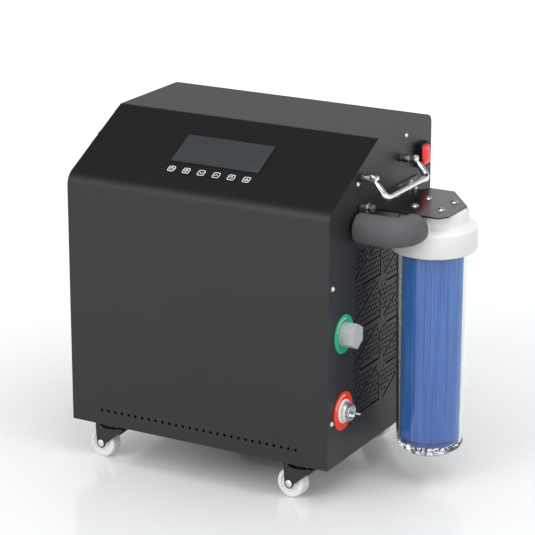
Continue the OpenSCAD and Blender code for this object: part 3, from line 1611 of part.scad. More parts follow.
module refrigerant_lines() {
  shell_top = tray_t + compressor_foot_h + compressor_plate_t + compressor_h - 2 * compressor_dome;
  left_x = condenser_x - condenser_w / 2 - 2 * condenser_tube_r;
  mid_y = condenser_y + condenser_t / 2;
  low_z = tray_t + condenser_foot;
  color("#b87333") place() {
    pipe_run([[compressor_x, compressor_y + compressor_d / 2 - fit_gap, shell_top],
      [compressor_x, condenser_y - line_ahead, shell_top],
      [left_x - 2 * copper_r, condenser_y - line_ahead, shell_top],
      [left_x - 2 * copper_r, mid_y, low_z + tube_row_share[3] * condenser_h],
      [left_x, mid_y, low_z + tube_row_share[3] * condenser_h]], copper_r);
    pipe_run([[compressor_x + compressor_d / 2 - fit_gap, compressor_y, shell_top],
      [tank_x - tank_d / 2 + fit_gap, compressor_y, shell_top]], copper_r);
  }
}

module power_supply() {
  color("#8d9092") place() block([sheet_t, psu_y, psu_z], [sheet_t + psu_w, psu_y + psu_d, psu_z + psu_h]);
}

module mains_inlet() {
  color("#0f0f10") place() facing_rear(inlet_x, mains_z) difference() {
    union() {
      linear_extrude(mains_plate_t) rounded_rect(mains_plate_w, mains_h + 2 * mains_plate_t, mains_plate_t);
      block([-mains_w / 2, -mains_h / 2, -mains_body], [mains_w / 2, mains_h / 2, overrun / 2]);
    }
    difference() {
      block([mains_plate_t * 2 - mains_w / 2, mains_plate_t - mains_h / 2, mains_plate_t - mains_well],
        [mains_w / 2 - mains_plate_t * 2, mains_h / 2 - mains_plate_t, mains_plate_t + overrun]);
      for (x = [-1, 0, 1]) translate([x * mains_w / 5, (1 - abs(x)) * mains_pin_h, 0])
        block([-mains_pin_w / 2, -mains_pin_h / 2, mains_plate_t - mains_well - overrun],
          [mains_pin_w / 2, mains_pin_h / 2, mains_pin_l - mains_well]);
    }
  }
}

base_tray();
front_shell();
right_panel();
left_panel();
rear_panel();
dome_screws();
display_window();
control_board();
key_1();
key_2();
key_3();
key_4();
key_5();
key_6();
switch_frame();
switch_rocker();
handle_posts();
right_bail();
left_bail();
filter_bracket();
bracket_screws();
filter_cap();
filter_bowl();
bowl_seal();
cartridge_media();
cartridge_ends();
hose_tails();
front_hose();
front_hose_foam();
rear_pipe();
outlet_ring();
inlet_ring();
outlet_fitting();
outlet_cap();
cap_gasket();
inlet_fitting();
inlet_stem();
port_nuts();
caster_plates();
caster_fork_fl();
caster_fork_fr();
caster_fork_rl();
caster_fork_rr();
caster_wheel_fl();
caster_wheel_fr();
caster_wheel_rl();
caster_wheel_rr();
compressor();
compressor_feet();
condenser();
fan_frame();
fan_motor();
fan_rotor();
fan_guard();
water_tank();
water_pump();
water_lines();
refrigerant_lines();
power_supply();
mains_inlet();
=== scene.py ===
import bpy
import bmesh
import json
import math
from mathutils import Matrix, Vector

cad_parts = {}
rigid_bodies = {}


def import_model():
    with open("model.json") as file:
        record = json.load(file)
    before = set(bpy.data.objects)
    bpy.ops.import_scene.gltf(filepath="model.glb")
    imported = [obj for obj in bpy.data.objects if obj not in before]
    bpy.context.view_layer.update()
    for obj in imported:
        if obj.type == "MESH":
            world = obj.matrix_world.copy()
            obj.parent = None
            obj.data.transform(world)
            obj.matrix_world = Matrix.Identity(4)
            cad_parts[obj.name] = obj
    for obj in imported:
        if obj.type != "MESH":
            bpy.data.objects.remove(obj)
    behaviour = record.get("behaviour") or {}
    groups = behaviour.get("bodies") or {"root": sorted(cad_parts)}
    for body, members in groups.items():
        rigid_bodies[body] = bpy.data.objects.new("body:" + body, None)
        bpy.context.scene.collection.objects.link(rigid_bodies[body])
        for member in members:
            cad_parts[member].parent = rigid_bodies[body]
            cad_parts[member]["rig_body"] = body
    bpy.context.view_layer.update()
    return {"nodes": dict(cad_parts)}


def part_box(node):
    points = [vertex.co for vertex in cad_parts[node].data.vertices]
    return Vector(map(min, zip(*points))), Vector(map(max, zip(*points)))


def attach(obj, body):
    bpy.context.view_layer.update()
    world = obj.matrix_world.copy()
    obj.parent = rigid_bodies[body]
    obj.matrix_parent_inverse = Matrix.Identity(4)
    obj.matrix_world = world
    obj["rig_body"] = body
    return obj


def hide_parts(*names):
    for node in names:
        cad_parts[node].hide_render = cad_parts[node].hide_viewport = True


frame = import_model()
nodes = frame["nodes"]
bodyOf = {name: node["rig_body"] for name, node in nodes.items()}
print("frame loaded:", len(nodes), "nodes")


# colours, nodes and finishes
def hexColour(code):
    # sRGB hex to linear
    parts = [int(code[i:i + 2], 16) / 255 for i in (1, 3, 5)]
    return tuple(c / 12.92 if c <= 0.04045 else ((c + 0.055) / 1.055) ** 2.4 for c in parts) + (1.0,)


def setNode(tree, node, settings):
    # the node's own properties, or inputs by name or number; a node or a socket is linked in
    for key, value in settings.items():
        if isinstance(value, bpy.types.Node):
            value = value.outputs[0]
        if isinstance(value, bpy.types.NodeSocket):
            tree.links.new(value, node.inputs[key])
        elif isinstance(key, int) or key in node.inputs:
            node.inputs[key].default_value = value
        else:
            setattr(node, key, value)


def addNode(tree, kind, settings=None):
    node = tree.nodes.new(kind)
    setNode(tree, node, settings or {})
    return node


def newMaterial(name, colour, roughness, metallic=0.0, settings=None):
    material = bpy.data.materials.new(name)
    material.use_nodes = True
    material.diffuse_color = hexColour(colour)
    tree = material.node_tree
    tree.nodes.clear()
    shader = addNode(tree, "ShaderNodeBsdfPrincipled", {
        "Base Color": hexColour(colour), "Roughness": roughness, "Metallic": metallic, **(settings or {})})
    addNode(tree, "ShaderNodeOutputMaterial", {"Surface": shader})
    return material, tree, shader


def objectPoint(tree, stretch=(1, 1, 1)):
    place = addNode(tree, "ShaderNodeTexCoord")
    return addNode(tree, "ShaderNodeMapping", {"Scale": stretch, "Vector": place.outputs["Object"]})


def mottle(tree, shader, point, sizeMm, dark, light, detail=2.0):
    # clouds about sizeMm wide between two shades of the base colour
    cloud = addNode(tree, "ShaderNodeTexNoise", {"Scale": 1000 / sizeMm, "Detail": detail, "Vector": point})
    shade = addNode(tree, "ShaderNodeMix", {
        "data_type": "RGBA", 0: cloud, 6: hexColour(dark), 7: hexColour(light)})
    setNode(tree, shader, {"Base Color": shade.outputs[2]})
    return cloud


def powderCoat(name, dark, light, roughness):
    # polyester powder coat, sprayed and baked: satin black with a fine orange peel
    material, tree, shader = newMaterial(name, dark, roughness)
    point = objectPoint(tree)
    # real peel is about 0.5 mm wide, drawn at 1 mm so that it shows
    peel = addNode(tree, "ShaderNodeTexNoise", {"Scale": 1000 / 1.0, "Detail": 3.0, "Vector": point})
    mottle(tree, shader, point, 70, dark, light)
    setNode(tree, shader, {
        "Roughness": addNode(tree, "ShaderNodeMapRange", {
            "From Min": 0.3, "From Max": 0.7, "To Min": roughness - 0.05, "To Max": roughness + 0.06,
            "Value": peel}),
        "Normal": addNode(tree, "ShaderNodeBump", {"Strength": 1.0, "Distance": 0.00003, "Height": peel})})
    return material


def glossBlackPaint():
    # stoved gloss black on pressed steel: a dark mirror with faint waviness
    material, tree, shader = newMaterial("stovedGlossBlack", "#161617", 0.24)
    wave = mottle(tree, shader, objectPoint(tree), 4, "#131314", "#1a1a1b")
    setNode(tree, shader, {"Normal": addNode(tree, "ShaderNodeBump", {
        "Strength": 1.0, "Distance": 0.000012, "Height": wave})})
    return material


def platedMetal(name, dark, light, roughness, cloudMm):
    # bright plating on steel: cloudy roughness where the bath left it thinner
    material, tree, shader = newMaterial(name, dark, roughness, 1.0)
    cloud = mottle(tree, shader, objectPoint(tree), cloudMm, dark, light, 3.0)
    setNode(tree, shader, {"Roughness": addNode(tree, "ShaderNodeMapRange", {
        "From Min": 0.35, "From Max": 0.7, "To Min": roughness - 0.04, "To Max": roughness + 0.06,
        "Value": cloud})})
    return material


def turnedNickel():
    # turned steel post under black nickel: dark, with faint rings from the lathe, drawn 0.6 mm apart to show
    material, tree, shader = newMaterial("blackNickel", "#848588", 0.34, 1.0)
    rings = mottle(tree, shader, objectPoint(tree, (1, 0.02, 0.02)), 0.6, "#747578", "#949598", 1.0)
    setNode(tree, shader, {"Normal": addNode(tree, "ShaderNodeBump", {
        "Strength": 1.0, "Distance": 0.00001, "Height": rings})})
    return material


def smokedAcrylic():
    # smoked acrylic window over a switched-off display: grey sheen, nearly smooth
    material, tree, shader = newMaterial("smokedAcrylic", "#3f4244", 0.22, 0.0, {"IOR": 1.49})
    veil = mottle(tree, shader, objectPoint(tree, (0.5, 1, 1)), 60, "#3a3d3f", "#444749", 1.0)
    setNode(tree, shader, {"Roughness": addNode(tree, "ShaderNodeMapRange", {
        "From Min": 0.3, "From Max": 0.7, "To Min": 0.18, "To Max": 0.28, "Value": veil})})
    return material


def mouldedPlastic(name, dark, light, roughness, grainMm=0.8, depthMm=0.02):
    # injection-moulded part: even colour, soft sheen, and a grain drawn coarser than real so that it shows
    material, tree, shader = newMaterial(name, dark, roughness, 0.0, {"IOR": 1.49})
    point = objectPoint(tree)
    grain = addNode(tree, "ShaderNodeTexNoise", {"Scale": 1000 / grainMm, "Detail": 2.0, "Vector": point})
    mottle(tree, shader, point, 45, dark, light)
    setNode(tree, shader, {
        "Roughness": addNode(tree, "ShaderNodeMapRange", {
            "From Min": 0.3, "From Max": 0.7, "To Min": roughness - 0.04, "To Max": roughness + 0.05,
            "Value": grain}),
        "Normal": addNode(tree, "ShaderNodeBump", {
            "Strength": 1.0, "Distance": depthMm / 1000, "Height": grain})})
    return material


def clearPolycarbonate():
    # injection-moulded clear bowl: bright rims, faint flow lines down its length, about 14 mm apart
    material, tree, shader = newMaterial("clearPolycarbonate", "#f7fbfc", 0.03, 0.0, {
        "IOR": 1.45, "Transmission Weight": 1.0})
    flow = addNode(tree, "ShaderNodeTexNoise", {
        "Scale": 1000 / 14, "Detail": 1.0, "Vector": objectPoint(tree, (1, 1, 0.15))})
    setNode(tree, shader, {"Normal": addNode(tree, "ShaderNodeBump", {
        "Strength": 0.5, "Distance": 0.00005, "Height": flow})})
    return material


def pleatedPolyester():
    # blue spun polyester folded into pleats: matt, with fibres and darker streaks down the folds
    material, tree, shader = newMaterial("pleatedPolyester", "#3f6cb8", 0.75, 0.0, {
        "Sheen Weight": 0.2, "Sheen Roughness": 0.5})
    # real fibres are far finer, drawn at 0.9 mm so that they show
    fibre = addNode(tree, "ShaderNodeTexNoise", {
        "Scale": 1000 / 0.9, "Detail": 3.0, "Vector": objectPoint(tree)})
    streak = addNode(tree, "ShaderNodeTexNoise", {
        "Scale": 1000 / 4, "Detail": 2.0, "Vector": objectPoint(tree, (1, 1, 0.03))})
    share = addNode(tree, "ShaderNodeMapRange", {
        "From Min": 0.3, "From Max": 0.7, "To Min": 0, "To Max": 1, "Value": streak})
    shade = addNode(tree, "ShaderNodeMix", {
        "data_type": "RGBA", 0: share, 6: hexColour("#3c8ae4"), 7: hexColour("#70b0f6")})
    setNode(tree, shader, {
        "Base Color": shade.outputs[2],
        "Normal": addNode(tree, "ShaderNodeBump", {"Strength": 1.0, "Distance": 0.00008, "Height": fibre})})
    return material


def closedCellFoam():
    # extruded nitrile foam sleeve: matt grey, closed cells under its skin, drawn at 1.4 mm so that they show
    material, tree, shader = newMaterial("closedCellFoam", "#5a5b5d", 0.85)
    point = objectPoint(tree)
    cells = addNode(tree, "ShaderNodeTexVoronoi", {"Scale": 1000 / 1.4, "Vector": point})
    mottle(tree, shader, point, 22, "#535456", "#66676a", 3.0)
    setNode(tree, shader, {"Normal": addNode(tree, "ShaderNodeBump", {
        "Strength": 0.6, "Distance": 0.0001, "Height": cells.outputs["Distance"]})})
    return material


def blackRubber():
    # moulded EPDM rubber: matt, with a faint bloom
    material, tree, shader = newMaterial("mouldedRubber", "#1d1d1f", 0.7)
    bloom = mottle(tree, shader, objectPoint(tree), 1.2, "#1a1a1c", "#242426")
    setNode(tree, shader, {"Normal": addNode(tree, "ShaderNodeBump", {
        "Strength": 1.0, "Distance": 0.00004, "Height": bloom})})
    return material


def castZinc(name, dark, light, roughness):
    # die-cast zinc alloy, tumbled and plated: fine dull mottling
    material, tree, shader = newMaterial(name, dark, roughness, 0.9)
    dull = mottle(tree, shader, objectPoint(tree), 1.6, dark, light, 4.0)
    setNode(tree, shader, {"Normal": addNode(tree, "ShaderNodeBump", {
        "Strength": 1.0, "Distance": 0.00003, "Height": dull})})
    return material


def litPolycarbonate():
    # translucent red polycarbonate, glossy skin, with a painted glow from below: the emission stands in for
    # light and no lamp is built
    material, tree, shader = newMaterial("redPolycarbonate", "#d0161c", 0.22, 0.0, {
        "IOR": 1.45, "Subsurface Weight": 0.25, "Subsurface Scale": 0.003, "Coat Weight": 0.15,
        "Coat Roughness": 0.06, "Emission Strength": 0.3, "Emission Color": hexColour("#ff140c"),
        "Subsurface Radius": (1.0, 0.15, 0.1)})
    mottle(tree, shader, objectPoint(tree), 7, "#c2080c", "#e0141a", 1.0)
    return material


def drawnCopper():
    # drawn copper tube with a light brown tarnish
    material, tree, shader = newMaterial("drawnCopper", "#b9683f", 0.35, 1.0)
    mottle(tree, shader, objectPoint(tree), 12, "#a85a35", "#cf8257", 3.0)
    return material


def circuitBoard():
    # glass-fibre board under green solder mask, with paler copper runs below it, about 6 mm apart
    material, tree, shader = newMaterial("solderMaskGreen", "#12502c", 0.4)
    cells = addNode(tree, "ShaderNodeTexVoronoi", {
        "feature": "DISTANCE_TO_EDGE", "Scale": 1000 / 6, "Vector": objectPoint(tree)})
    share = addNode(tree, "ShaderNodeMapRange", {
        "From Min": 0.0, "From Max": 0.05, "To Min": 0, "To Max": 1, "Value": cells.outputs["Distance"]})
    shade = addNode(tree, "ShaderNodeMix", {
        "data_type": "RGBA", 0: share, 6: hexColour("#1f7a45"), 7: hexColour("#0f4526")})
    setNode(tree, shader, {"Base Color": shade.outputs[2]})
    return material


finishes = {
    "powder": powderCoat("satinPowderCoat", "#171719", "#1d1d1f", 0.46),
    "enamel": powderCoat("compressorEnamel", "#151516", "#1b1b1d", 0.35),
    "glossBlack": glossBlackPaint(),
    "zinc": platedMetal("brightZinc", "#ccced1", "#eceded", 0.3, 2.5),
    "chrome": platedMetal("polishedChrome", "#dcdfe2", "#eef0f2", 0.1, 9),
    "nickel": turnedNickel(),
    "screen": smokedAcrylic(),
    "keyBlack": mouldedPlastic("keyCapAbs", "#151517", "#1b1b1d", 0.4),
    "keyPrint": mouldedPlastic("whiteKeyPrint", "#f4f4f2", "#ffffff", 0.5),
    "white": mouldedPlastic("whitePolypropylene", "#eaeaea", "#f3f3f3", 0.38, 1.1),
    "whiteWheel": mouldedPlastic("whiteNylon", "#f4f4f3", "#fbfbfa", 0.4, 1.0),
    "blackPlastic": mouldedPlastic("blackAbs", "#131315", "#1b1b1e", 0.42),
    "clear": clearPolycarbonate(),
    "media": pleatedPolyester(),
    "blueEnd": mouldedPlastic("blueEndCap", "#3561ab", "#426fb9", 0.5),
    "foam": closedCellFoam(),
    "rubber": blackRubber(),
    "green": mouldedPlastic("greenAbsRing", "#1aad7a", "#26be8d", 0.4),
    "red": mouldedPlastic("redAbsRing", "#f83208", "#ff4216", 0.4),
    "ringMark": mouldedPlastic("paleRingMark", "#f2f2ee", "#ffffff", 0.55),
    "greyCap": mouldedPlastic("greyPolypropylene", "#b0b4b7", "#c2c6c9", 0.42, 1.2, 0.04),
    "redRocker": litPolycarbonate(),
    "fitting": castZinc("plumbersZinc", "#77767f", "#9a99a2", 0.4),
    "nozzle": castZinc("brightNozzle", "#c3c6ca", "#e2e4e6", 0.2),
    "galvanised": castZinc("galvanisedSheet", "#9fa3a6", "#c3c7ca", 0.45),
    "copper": drawnCopper(),
    "board": circuitBoard(),
}
print("finishes made:", len(finishes))


# placing and mesh helpers
cabinetWidth = 380
panelLow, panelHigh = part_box("right_panel")
corner = Vector((panelHigh.x - cabinetWidth / 1000, panelLow.y, panelLow.z))


def at(x, y, z):
    # cabinet millimetres, from its left front foot, to the frame's metres
    return corner + Vector((x, y, z)) / 1000


def frameAt(point, out, across):
    # local millimetres, with Z along out and X along across, to the frame
    z = Vector(out).normalized()
    x = Vector(across).normalized()
    turn = Matrix((x, z.cross(x), z)).transposed().to_4x4()
    return Matrix.Translation(point) @ turn @ Matrix.Scale(0.001, 4)


def arcPoints(start, end, centre, steps):
    first, last = (start - centre).normalized(), (end - centre).normalized()
    return [centre + first.slerp(last, s / steps) * (start - centre).length for s in range(steps + 1)]


def roundCorner(before, here, after, radius, steps):
    # the arc that takes a corner's place
    a = (before - here).normalized()
    b = (after - here).normalized()
    half = a.angle(b) / 2
    centre = here + (a + b).normalized() * (radius / math.sin(half))
    back = radius / math.tan(half)
    return arcPoints(here + a * back, here + b * back, centre, steps)


def bentPath(points, bend, steps):
    result = [points[0]]
    for before, here, after in zip(points, points[1:], points[2:]):
        result += roundCorner(before, here, after, bend, steps)
    return result + [points[-1]]


def roundedBox(width, height, radius, steps=5):
    w, h = width / 2, height / 2
    corners = [Vector(c) for c in ((w, -h, 0), (w, h, 0), (-w, h, 0), (-w, -h, 0))]
    result = []
    for i, here in enumerate(corners):
        result += roundCorner(corners[i - 1], here, corners[(i + 1) % 4], radius, steps)
    return result


def loft(bm, rings, material=0, along=False, ends=False):
    rows = [[bm.verts.new(p) for p in ring] for ring in rings]
    pairs = list(zip(rows, rows[1:])) + ([(rows[-1], rows[0])] if along else [])
    for low, high in pairs:
        for i in range(len(low)):
            j = (i + 1) % len(low)
            bm.faces.new((low[i], low[j], high[j], high[i])).material_index = material
    if ends:
        bm.faces.new(list(reversed(rows[0]))).material_index = material
        bm.faces.new(rows[-1]).material_index = material


def circlePoints(matrix, radius, height, segments):
    turn = 2 * math.pi / segments
    return [matrix @ Vector((radius * math.cos(k * turn), radius * math.sin(k * turn), height))
            for k in range(segments)]


def lathe(bm, profile, matrix, segments, material=0, closed=False):
    # profile points are (radius, height); radius 0 closes it with a pole
    loft(bm, [circlePoints(matrix, p[0], p[1], segments) for p in profile], material, along=closed)


def insetLoop(loop, distance):
    moved = []
    for i, p in enumerate(loop):
        a = (p - loop[i - 1]).normalized()
        b = (loop[(i + 1) % len(loop)] - p).normalized()
        na, nb = Vector((-a.y, a.x, 0)), Vector((-b.y, b.x, 0))
        moved.append(p + (na + nb) * (distance / max(1 + na.dot(nb), 0.3)))
    return moved


def slab(bm, loop, matrix, low, high, edge, material=0):
    # a plate with rounded rims, from a closed anticlockwise outline
    levels = [(low, edge), (low + 0.3 * edge, 0.3 * edge), (low + edge, 0),
              (high - edge, 0), (high - 0.3 * edge, 0.3 * edge), (high, edge)]
    rings = [[matrix @ Vector((p.x, p.y, z)) for p in insetLoop(loop, d)] for z, d in levels]
    loft(bm, rings, material, ends=True)


def frameLoop(bm, outer, inner, matrix, low, high, material=0):
    # a flat frame between two outlines with the same count of points
    levels = ((outer, low), (outer, high), (inner, high), (inner, low))
    rings = [[matrix @ Vector((p.x, p.y, z)) for p in loop] for loop, z in levels]
    loft(bm, rings, material, along=True)


def sweep(bm, path, radii, segments, bore=0):
    # a round bar along a path, or a pipe where it has a bore
    last = len(path) - 1
    tangents = [(path[min(i + 1, last)] - path[max(i - 1, 0)]).normalized() for i in range(len(path))]
    side = tangents[0].orthogonal().normalized()
    rings, inner = [], []
    for point, tangent, radius in zip(path, tangents, radii):
        side = (side - tangent * side.dot(tangent)).normalized()
        up = tangent.cross(side)
        spokes = [side * math.cos(2 * math.pi * k / segments) + up * math.sin(2 * math.pi * k / segments)
                  for k in range(segments)]
        rings.append([point + s * radius for s in spokes])
        inner.append([point + s * bore for s in spokes])
    if bore:
        loft(bm, rings + inner[::-1], along=True)
    else:
        loft(bm, rings, ends=True)


def stroke(bm, points, width, matrix, low, high, material=0):
    # a printed line of one width through 2-D points
    for a, b in zip(points, points[1:]):
        a, b = Vector((a[0], a[1], 0)), Vector((b[0], b[1], 0))
        along = (b - a).normalized() * (width / 2)
        across = Vector((-along.y, along.x, 0))
        loop = [a - along - across, b + along - across, b + along + across, a - along + across]
        loft(bm, [[matrix @ (p + Vector((0, 0, z))) for p in loop] for z in (low, high)], material, ends=True)


def arcStroke(bm, radius, start, end, width, matrix, low, high, material=0, steps=16):
    angles = [math.radians(start + (end - start) * s / steps) for s in range(steps + 1)]
    points = [(radius * math.cos(angle), radius * math.sin(angle)) for angle in angles]
    stroke(bm, points, width, matrix, low, high, material)


def makePiece(name, bm, finishNames, body, replaced=(), sharp=35, bevelMm=0, segments=2,
              fresh=True):
    # fresh meshes get their normals worked out; a CAD node's copy already points the right way
    bmesh.ops.remove_doubles(bm, verts=bm.verts, dist=2e-7)
    bmesh.ops.dissolve_degenerate(bm, edges=bm.edges, dist=1e-8)
    if fresh:
        bmesh.ops.recalc_face_normals(bm, faces=bm.faces)
    mesh = bpy.data.meshes.new(name)
    bm.to_mesh(mesh)
    bm.free()
    if "custom_normal" in mesh.attributes:
        mesh.attributes.remove(mesh.attributes["custom_normal"])
    for finish in finishNames:
        mesh.materials.append(finishes[finish])
    mesh.polygons.foreach_set("use_smooth", [True] * len(mesh.polygons))
    mesh.set_sharp_from_angle(angle=math.radians(sharp))
    piece = bpy.data.objects.new(name, mesh)
    bpy.context.scene.collection.objects.link(piece)
    if bevelMm:
        rim = piece.modifiers.new("softEdge", "BEVEL")
        rim.width = bevelMm / 1000
        rim.segments = segments
        rim.limit_method = "ANGLE"
        rim.angle_limit = math.radians(sharp)
        rim.harden_normals = True
    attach(piece, body)
    if replaced:
        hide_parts(*replaced)


def facesBelow(bm, height):
    # the faces of the solids that lie wholly under a height, such as the axle in a caster's fork
    left, found = set(bm.faces), []
    while left:
        edge = [left.pop()]
        solid = []
        while edge:
            face = edge.pop()
            solid.append(face)
            near = {other for vert in face.verts for other in vert.link_faces} & left
            left -= near
            edge += near
        if max(vert.co.z for face in solid for vert in face.verts) < height:
            found += solid
    return found


def refined(node, finish, bevelMm, segments, axle=None):
    # a merged copy of a CAD node with soft edges takes its place
    bm = bmesh.new()
    bm.from_mesh(nodes[node].data)
    bmesh.ops.remove_doubles(bm, verts=bm.verts, dist=2e-7)
    bmesh.ops.dissolve_limit(bm, angle_limit=math.radians(0.4), verts=bm.verts, edges=bm.edges)
    for face in bm.faces:
        face.material_index = 0
    finishNames = [finish]
    if axle:
        finishNames.append(axle["finish"])
        for face in facesBelow(bm, axle["under"] / 1000):
            face.material_index = 1
    first, *others = node.split("_")
    name = first + "".join(word.capitalize() for word in others) + "Piece"
    makePiece(name, bm, finishNames, bodyOf[node], [node], 32, bevelMm, segments, False)


# sheet metal, hidden parts and the valve stem keep their CAD mesh
asBuilt = {
    "powder": ["base_tray", "front_shell", "right_panel", "left_panel", "rear_panel"],
    "galvanised": ["condenser"],
    "copper": ["refrigerant_lines"],
    "rubber": ["bowl_seal", "cap_gasket", "front_hose", "compressor_feet", "water_lines"],
    "blackPlastic": ["hose_tails", "rear_pipe", "port_nuts"],
    "nozzle": ["inlet_stem"],
}
for finish, names in asBuilt.items():
    for name in names:
        nodes[name].data.materials.clear()
        nodes[name].data.materials.append(finishes[finish])

casterPlaces = ("fl", "fr", "rl", "rr")
# node: finish, edge radius in mm, segments of the edge
softened = {
    "dome_screws": ("zinc", 0.12, 1), "bracket_screws": ("zinc", 0.2, 2),
    **{"key_" + str(number): ("keyBlack", 0.5, 2) for number in range(1, 7)},
    "switch_frame": ("blackPlastic", 0.4, 2), "filter_bracket": ("glossBlack", 0.4, 2),
    "filter_cap": ("white", 1.0, 3), "cartridge_ends": ("blueEnd", 0.8, 2),
    "outlet_ring": ("green", 0.3, 2), "inlet_ring": ("red", 0.3, 2), "outlet_fitting": ("greyCap", 0.4, 2),
    "outlet_cap": ("greyCap", 1.2, 3), "caster_plates": ("glossBlack", 0.3, 2),
    **{"caster_fork_" + place: ("glossBlack", 0.4, 2) for place in casterPlaces},
    **{"caster_wheel_" + place: ("whiteWheel", 1.0, 3) for place in casterPlaces},
    "compressor": ("enamel", 2.0, 3), "fan_frame": ("blackPlastic", 0.4, 2), "fan_motor": ("fitting", 0.8, 2),
    "fan_rotor": ("blackPlastic", 0.4, 2), "water_tank": ("foam", 1.0, 2),
    "water_pump": ("blackPlastic", 1.0, 2), "power_supply": ("galvanised", 0.6, 2),
    "mains_inlet": ("blackPlastic", 0.3, 2), "control_board": ("board", 0.0, 1),
}
# the axle is the solid of each fork that lies under this height in mm
casterAxle = {"under": 28, "finish": "zinc"}
for name, (finish, bevelMm, segments) in softened.items():
    refined(name, finish, bevelMm, segments, casterAxle if name.startswith("caster_fork") else None)
print("softened copies made:", len(softened))

# control face
slope = {"foot": 332, "rise": 68, "run": 130, "middle": 190}
slopeTurn = math.atan2(slope["rise"], slope["run"])


def onSlope(across, up):
    # on the sloped face, with Z straight out of it and Y up the slope
    point = at(slope["middle"] + across, up * math.cos(slopeTurn), slope["foot"] + up * math.sin(slopeTurn))
    return frameAt(point, (0, -math.sin(slopeTurn), math.cos(slopeTurn)), (1, 0, 0))


window = {"width": 130, "height": 54, "up": 81, "corner": 2, "proud": 0.8, "rim": 1.3, "pane": 0.55,
          "paneEdge": 0.05, "backInset": 2.2, "backDepth": 1.2, "backEdge": 0.1, "softEdge": 0.2}


def makeWindow():
    matrix = onSlope(0, window["up"])
    outer = roundedBox(window["width"], window["height"], window["corner"])
    rimLoop = insetLoop(outer, window["rim"])
    backLoop = insetLoop(outer, window["backInset"])
    bm = bmesh.new()
    frameLoop(bm, outer, rimLoop, matrix, 0, window["proud"], 1)
    slab(bm, rimLoop, matrix, 0, window["pane"], window["paneEdge"])
    slab(bm, backLoop, matrix, -window["backDepth"], window["backEdge"], window["backEdge"], 1)
    makePiece("displayWindow", bm, ["screen", "blackPlastic"], bodyOf["display_window"],
              ["display_window"], 30, window["softEdge"])


makeWindow()

keys = {"up": 40.5, "pitch": 21.8, "outline": 9.8, "line": 0.95, "corner": 2.2, "top": 0.8, "ink": 0.08,
        "sunk": 0.03, "stroke": 0.8}
# a plain symbol for each key: arcs are (radius, from, to, height of the centre), lines are points
keySymbols = [
    {"arcs": [(2.1, 125, 415, 0)], "lines": [[(0, 0.6), (0, 2.9)]]},  # power
    {"arcs": [(2.4, 0, 360, 0)], "lines": [[(0, 1.5), (0, 0), (1.2, 0)]]},  # timer
    {"arcs": [], "lines": [[(-2.2, 1.0), (0, -1.4), (2.2, 1.0)]]},  # down
    {"arcs": [], "lines": [[(-2.2, -1.0), (0, 1.4), (2.2, -1.0)]]},  # up
    {"arcs": [(1.7, 180, 360, 0)], "lines": [[(-1.7, 0), (0, 2.8), (1.7, 0)]]},  # pump
    {"arcs": [(1.2, 0, 180, 0.9)],
     "lines": [[(-1.9, -1.9), (1.9, -1.9), (1.9, 0.4), (-1.9, 0.4), (-1.9, -1.9)]]},  # lock
]


def makeKeyPrints():
    low, high = keys["top"] - keys["sunk"], keys["top"] + keys["ink"]
    outer = roundedBox(keys["outline"], keys["outline"], keys["corner"])
    middle = (len(keySymbols) + 1) / 2
    for number, symbol in enumerate(keySymbols, 1):
        matrix = onSlope((number - middle) * keys["pitch"], keys["up"])
        bm = bmesh.new()
        frameLoop(bm, outer, insetLoop(outer, keys["line"]), matrix, low, high)
        for radius, start, end, lift in symbol["arcs"]:
            raised = matrix @ Matrix.Translation((0, lift, 0))
            arcStroke(bm, radius, start, end, keys["stroke"], raised, low, high)
        for points in symbol["lines"]:
            stroke(bm, points, keys["stroke"], matrix, low, high)
        # each print rides with its key
        body = bodyOf["key_" + str(number)]
        makePiece("keyPrint" + str(number), bm, ["keyPrint"], body)


makeKeyPrints()
print("control face made")

# power switch; proud is how far its middle stands over its ends
rocker = {"y": 238, "z": 337, "width": 25.5, "height": 31, "rim": 1.6, "gap": 0.8, "side": 0.3, "pivot": 4,
          "foot": 2.8, "crest": 13, "proud": 4, "tilt": 6, "cornerR": 2.0, "leastR": 0.6, "pinR": 1.5,
          "pinHalf": 12, "markAt": 6.6, "barHalf": 2.0, "barWidth": 0.9, "ringR": 1.9, "ringWidth": 0.8,
          "sunk": 0.4, "ink": 0.12}
# share of the way from foot to crest, how far in, and the share of proud that the ends fall there
rockerRings = [(0, 0.4, 0), (0.04, 0, 0), (0.8, 0, 0.8), (0.9, 0.35, 0.9), (0.97, 1.0, 1.0), (1.0, 2.2, 1.0),
               (1.0, 4.5, 1.0), (1.0, 7.0, 1.0)]


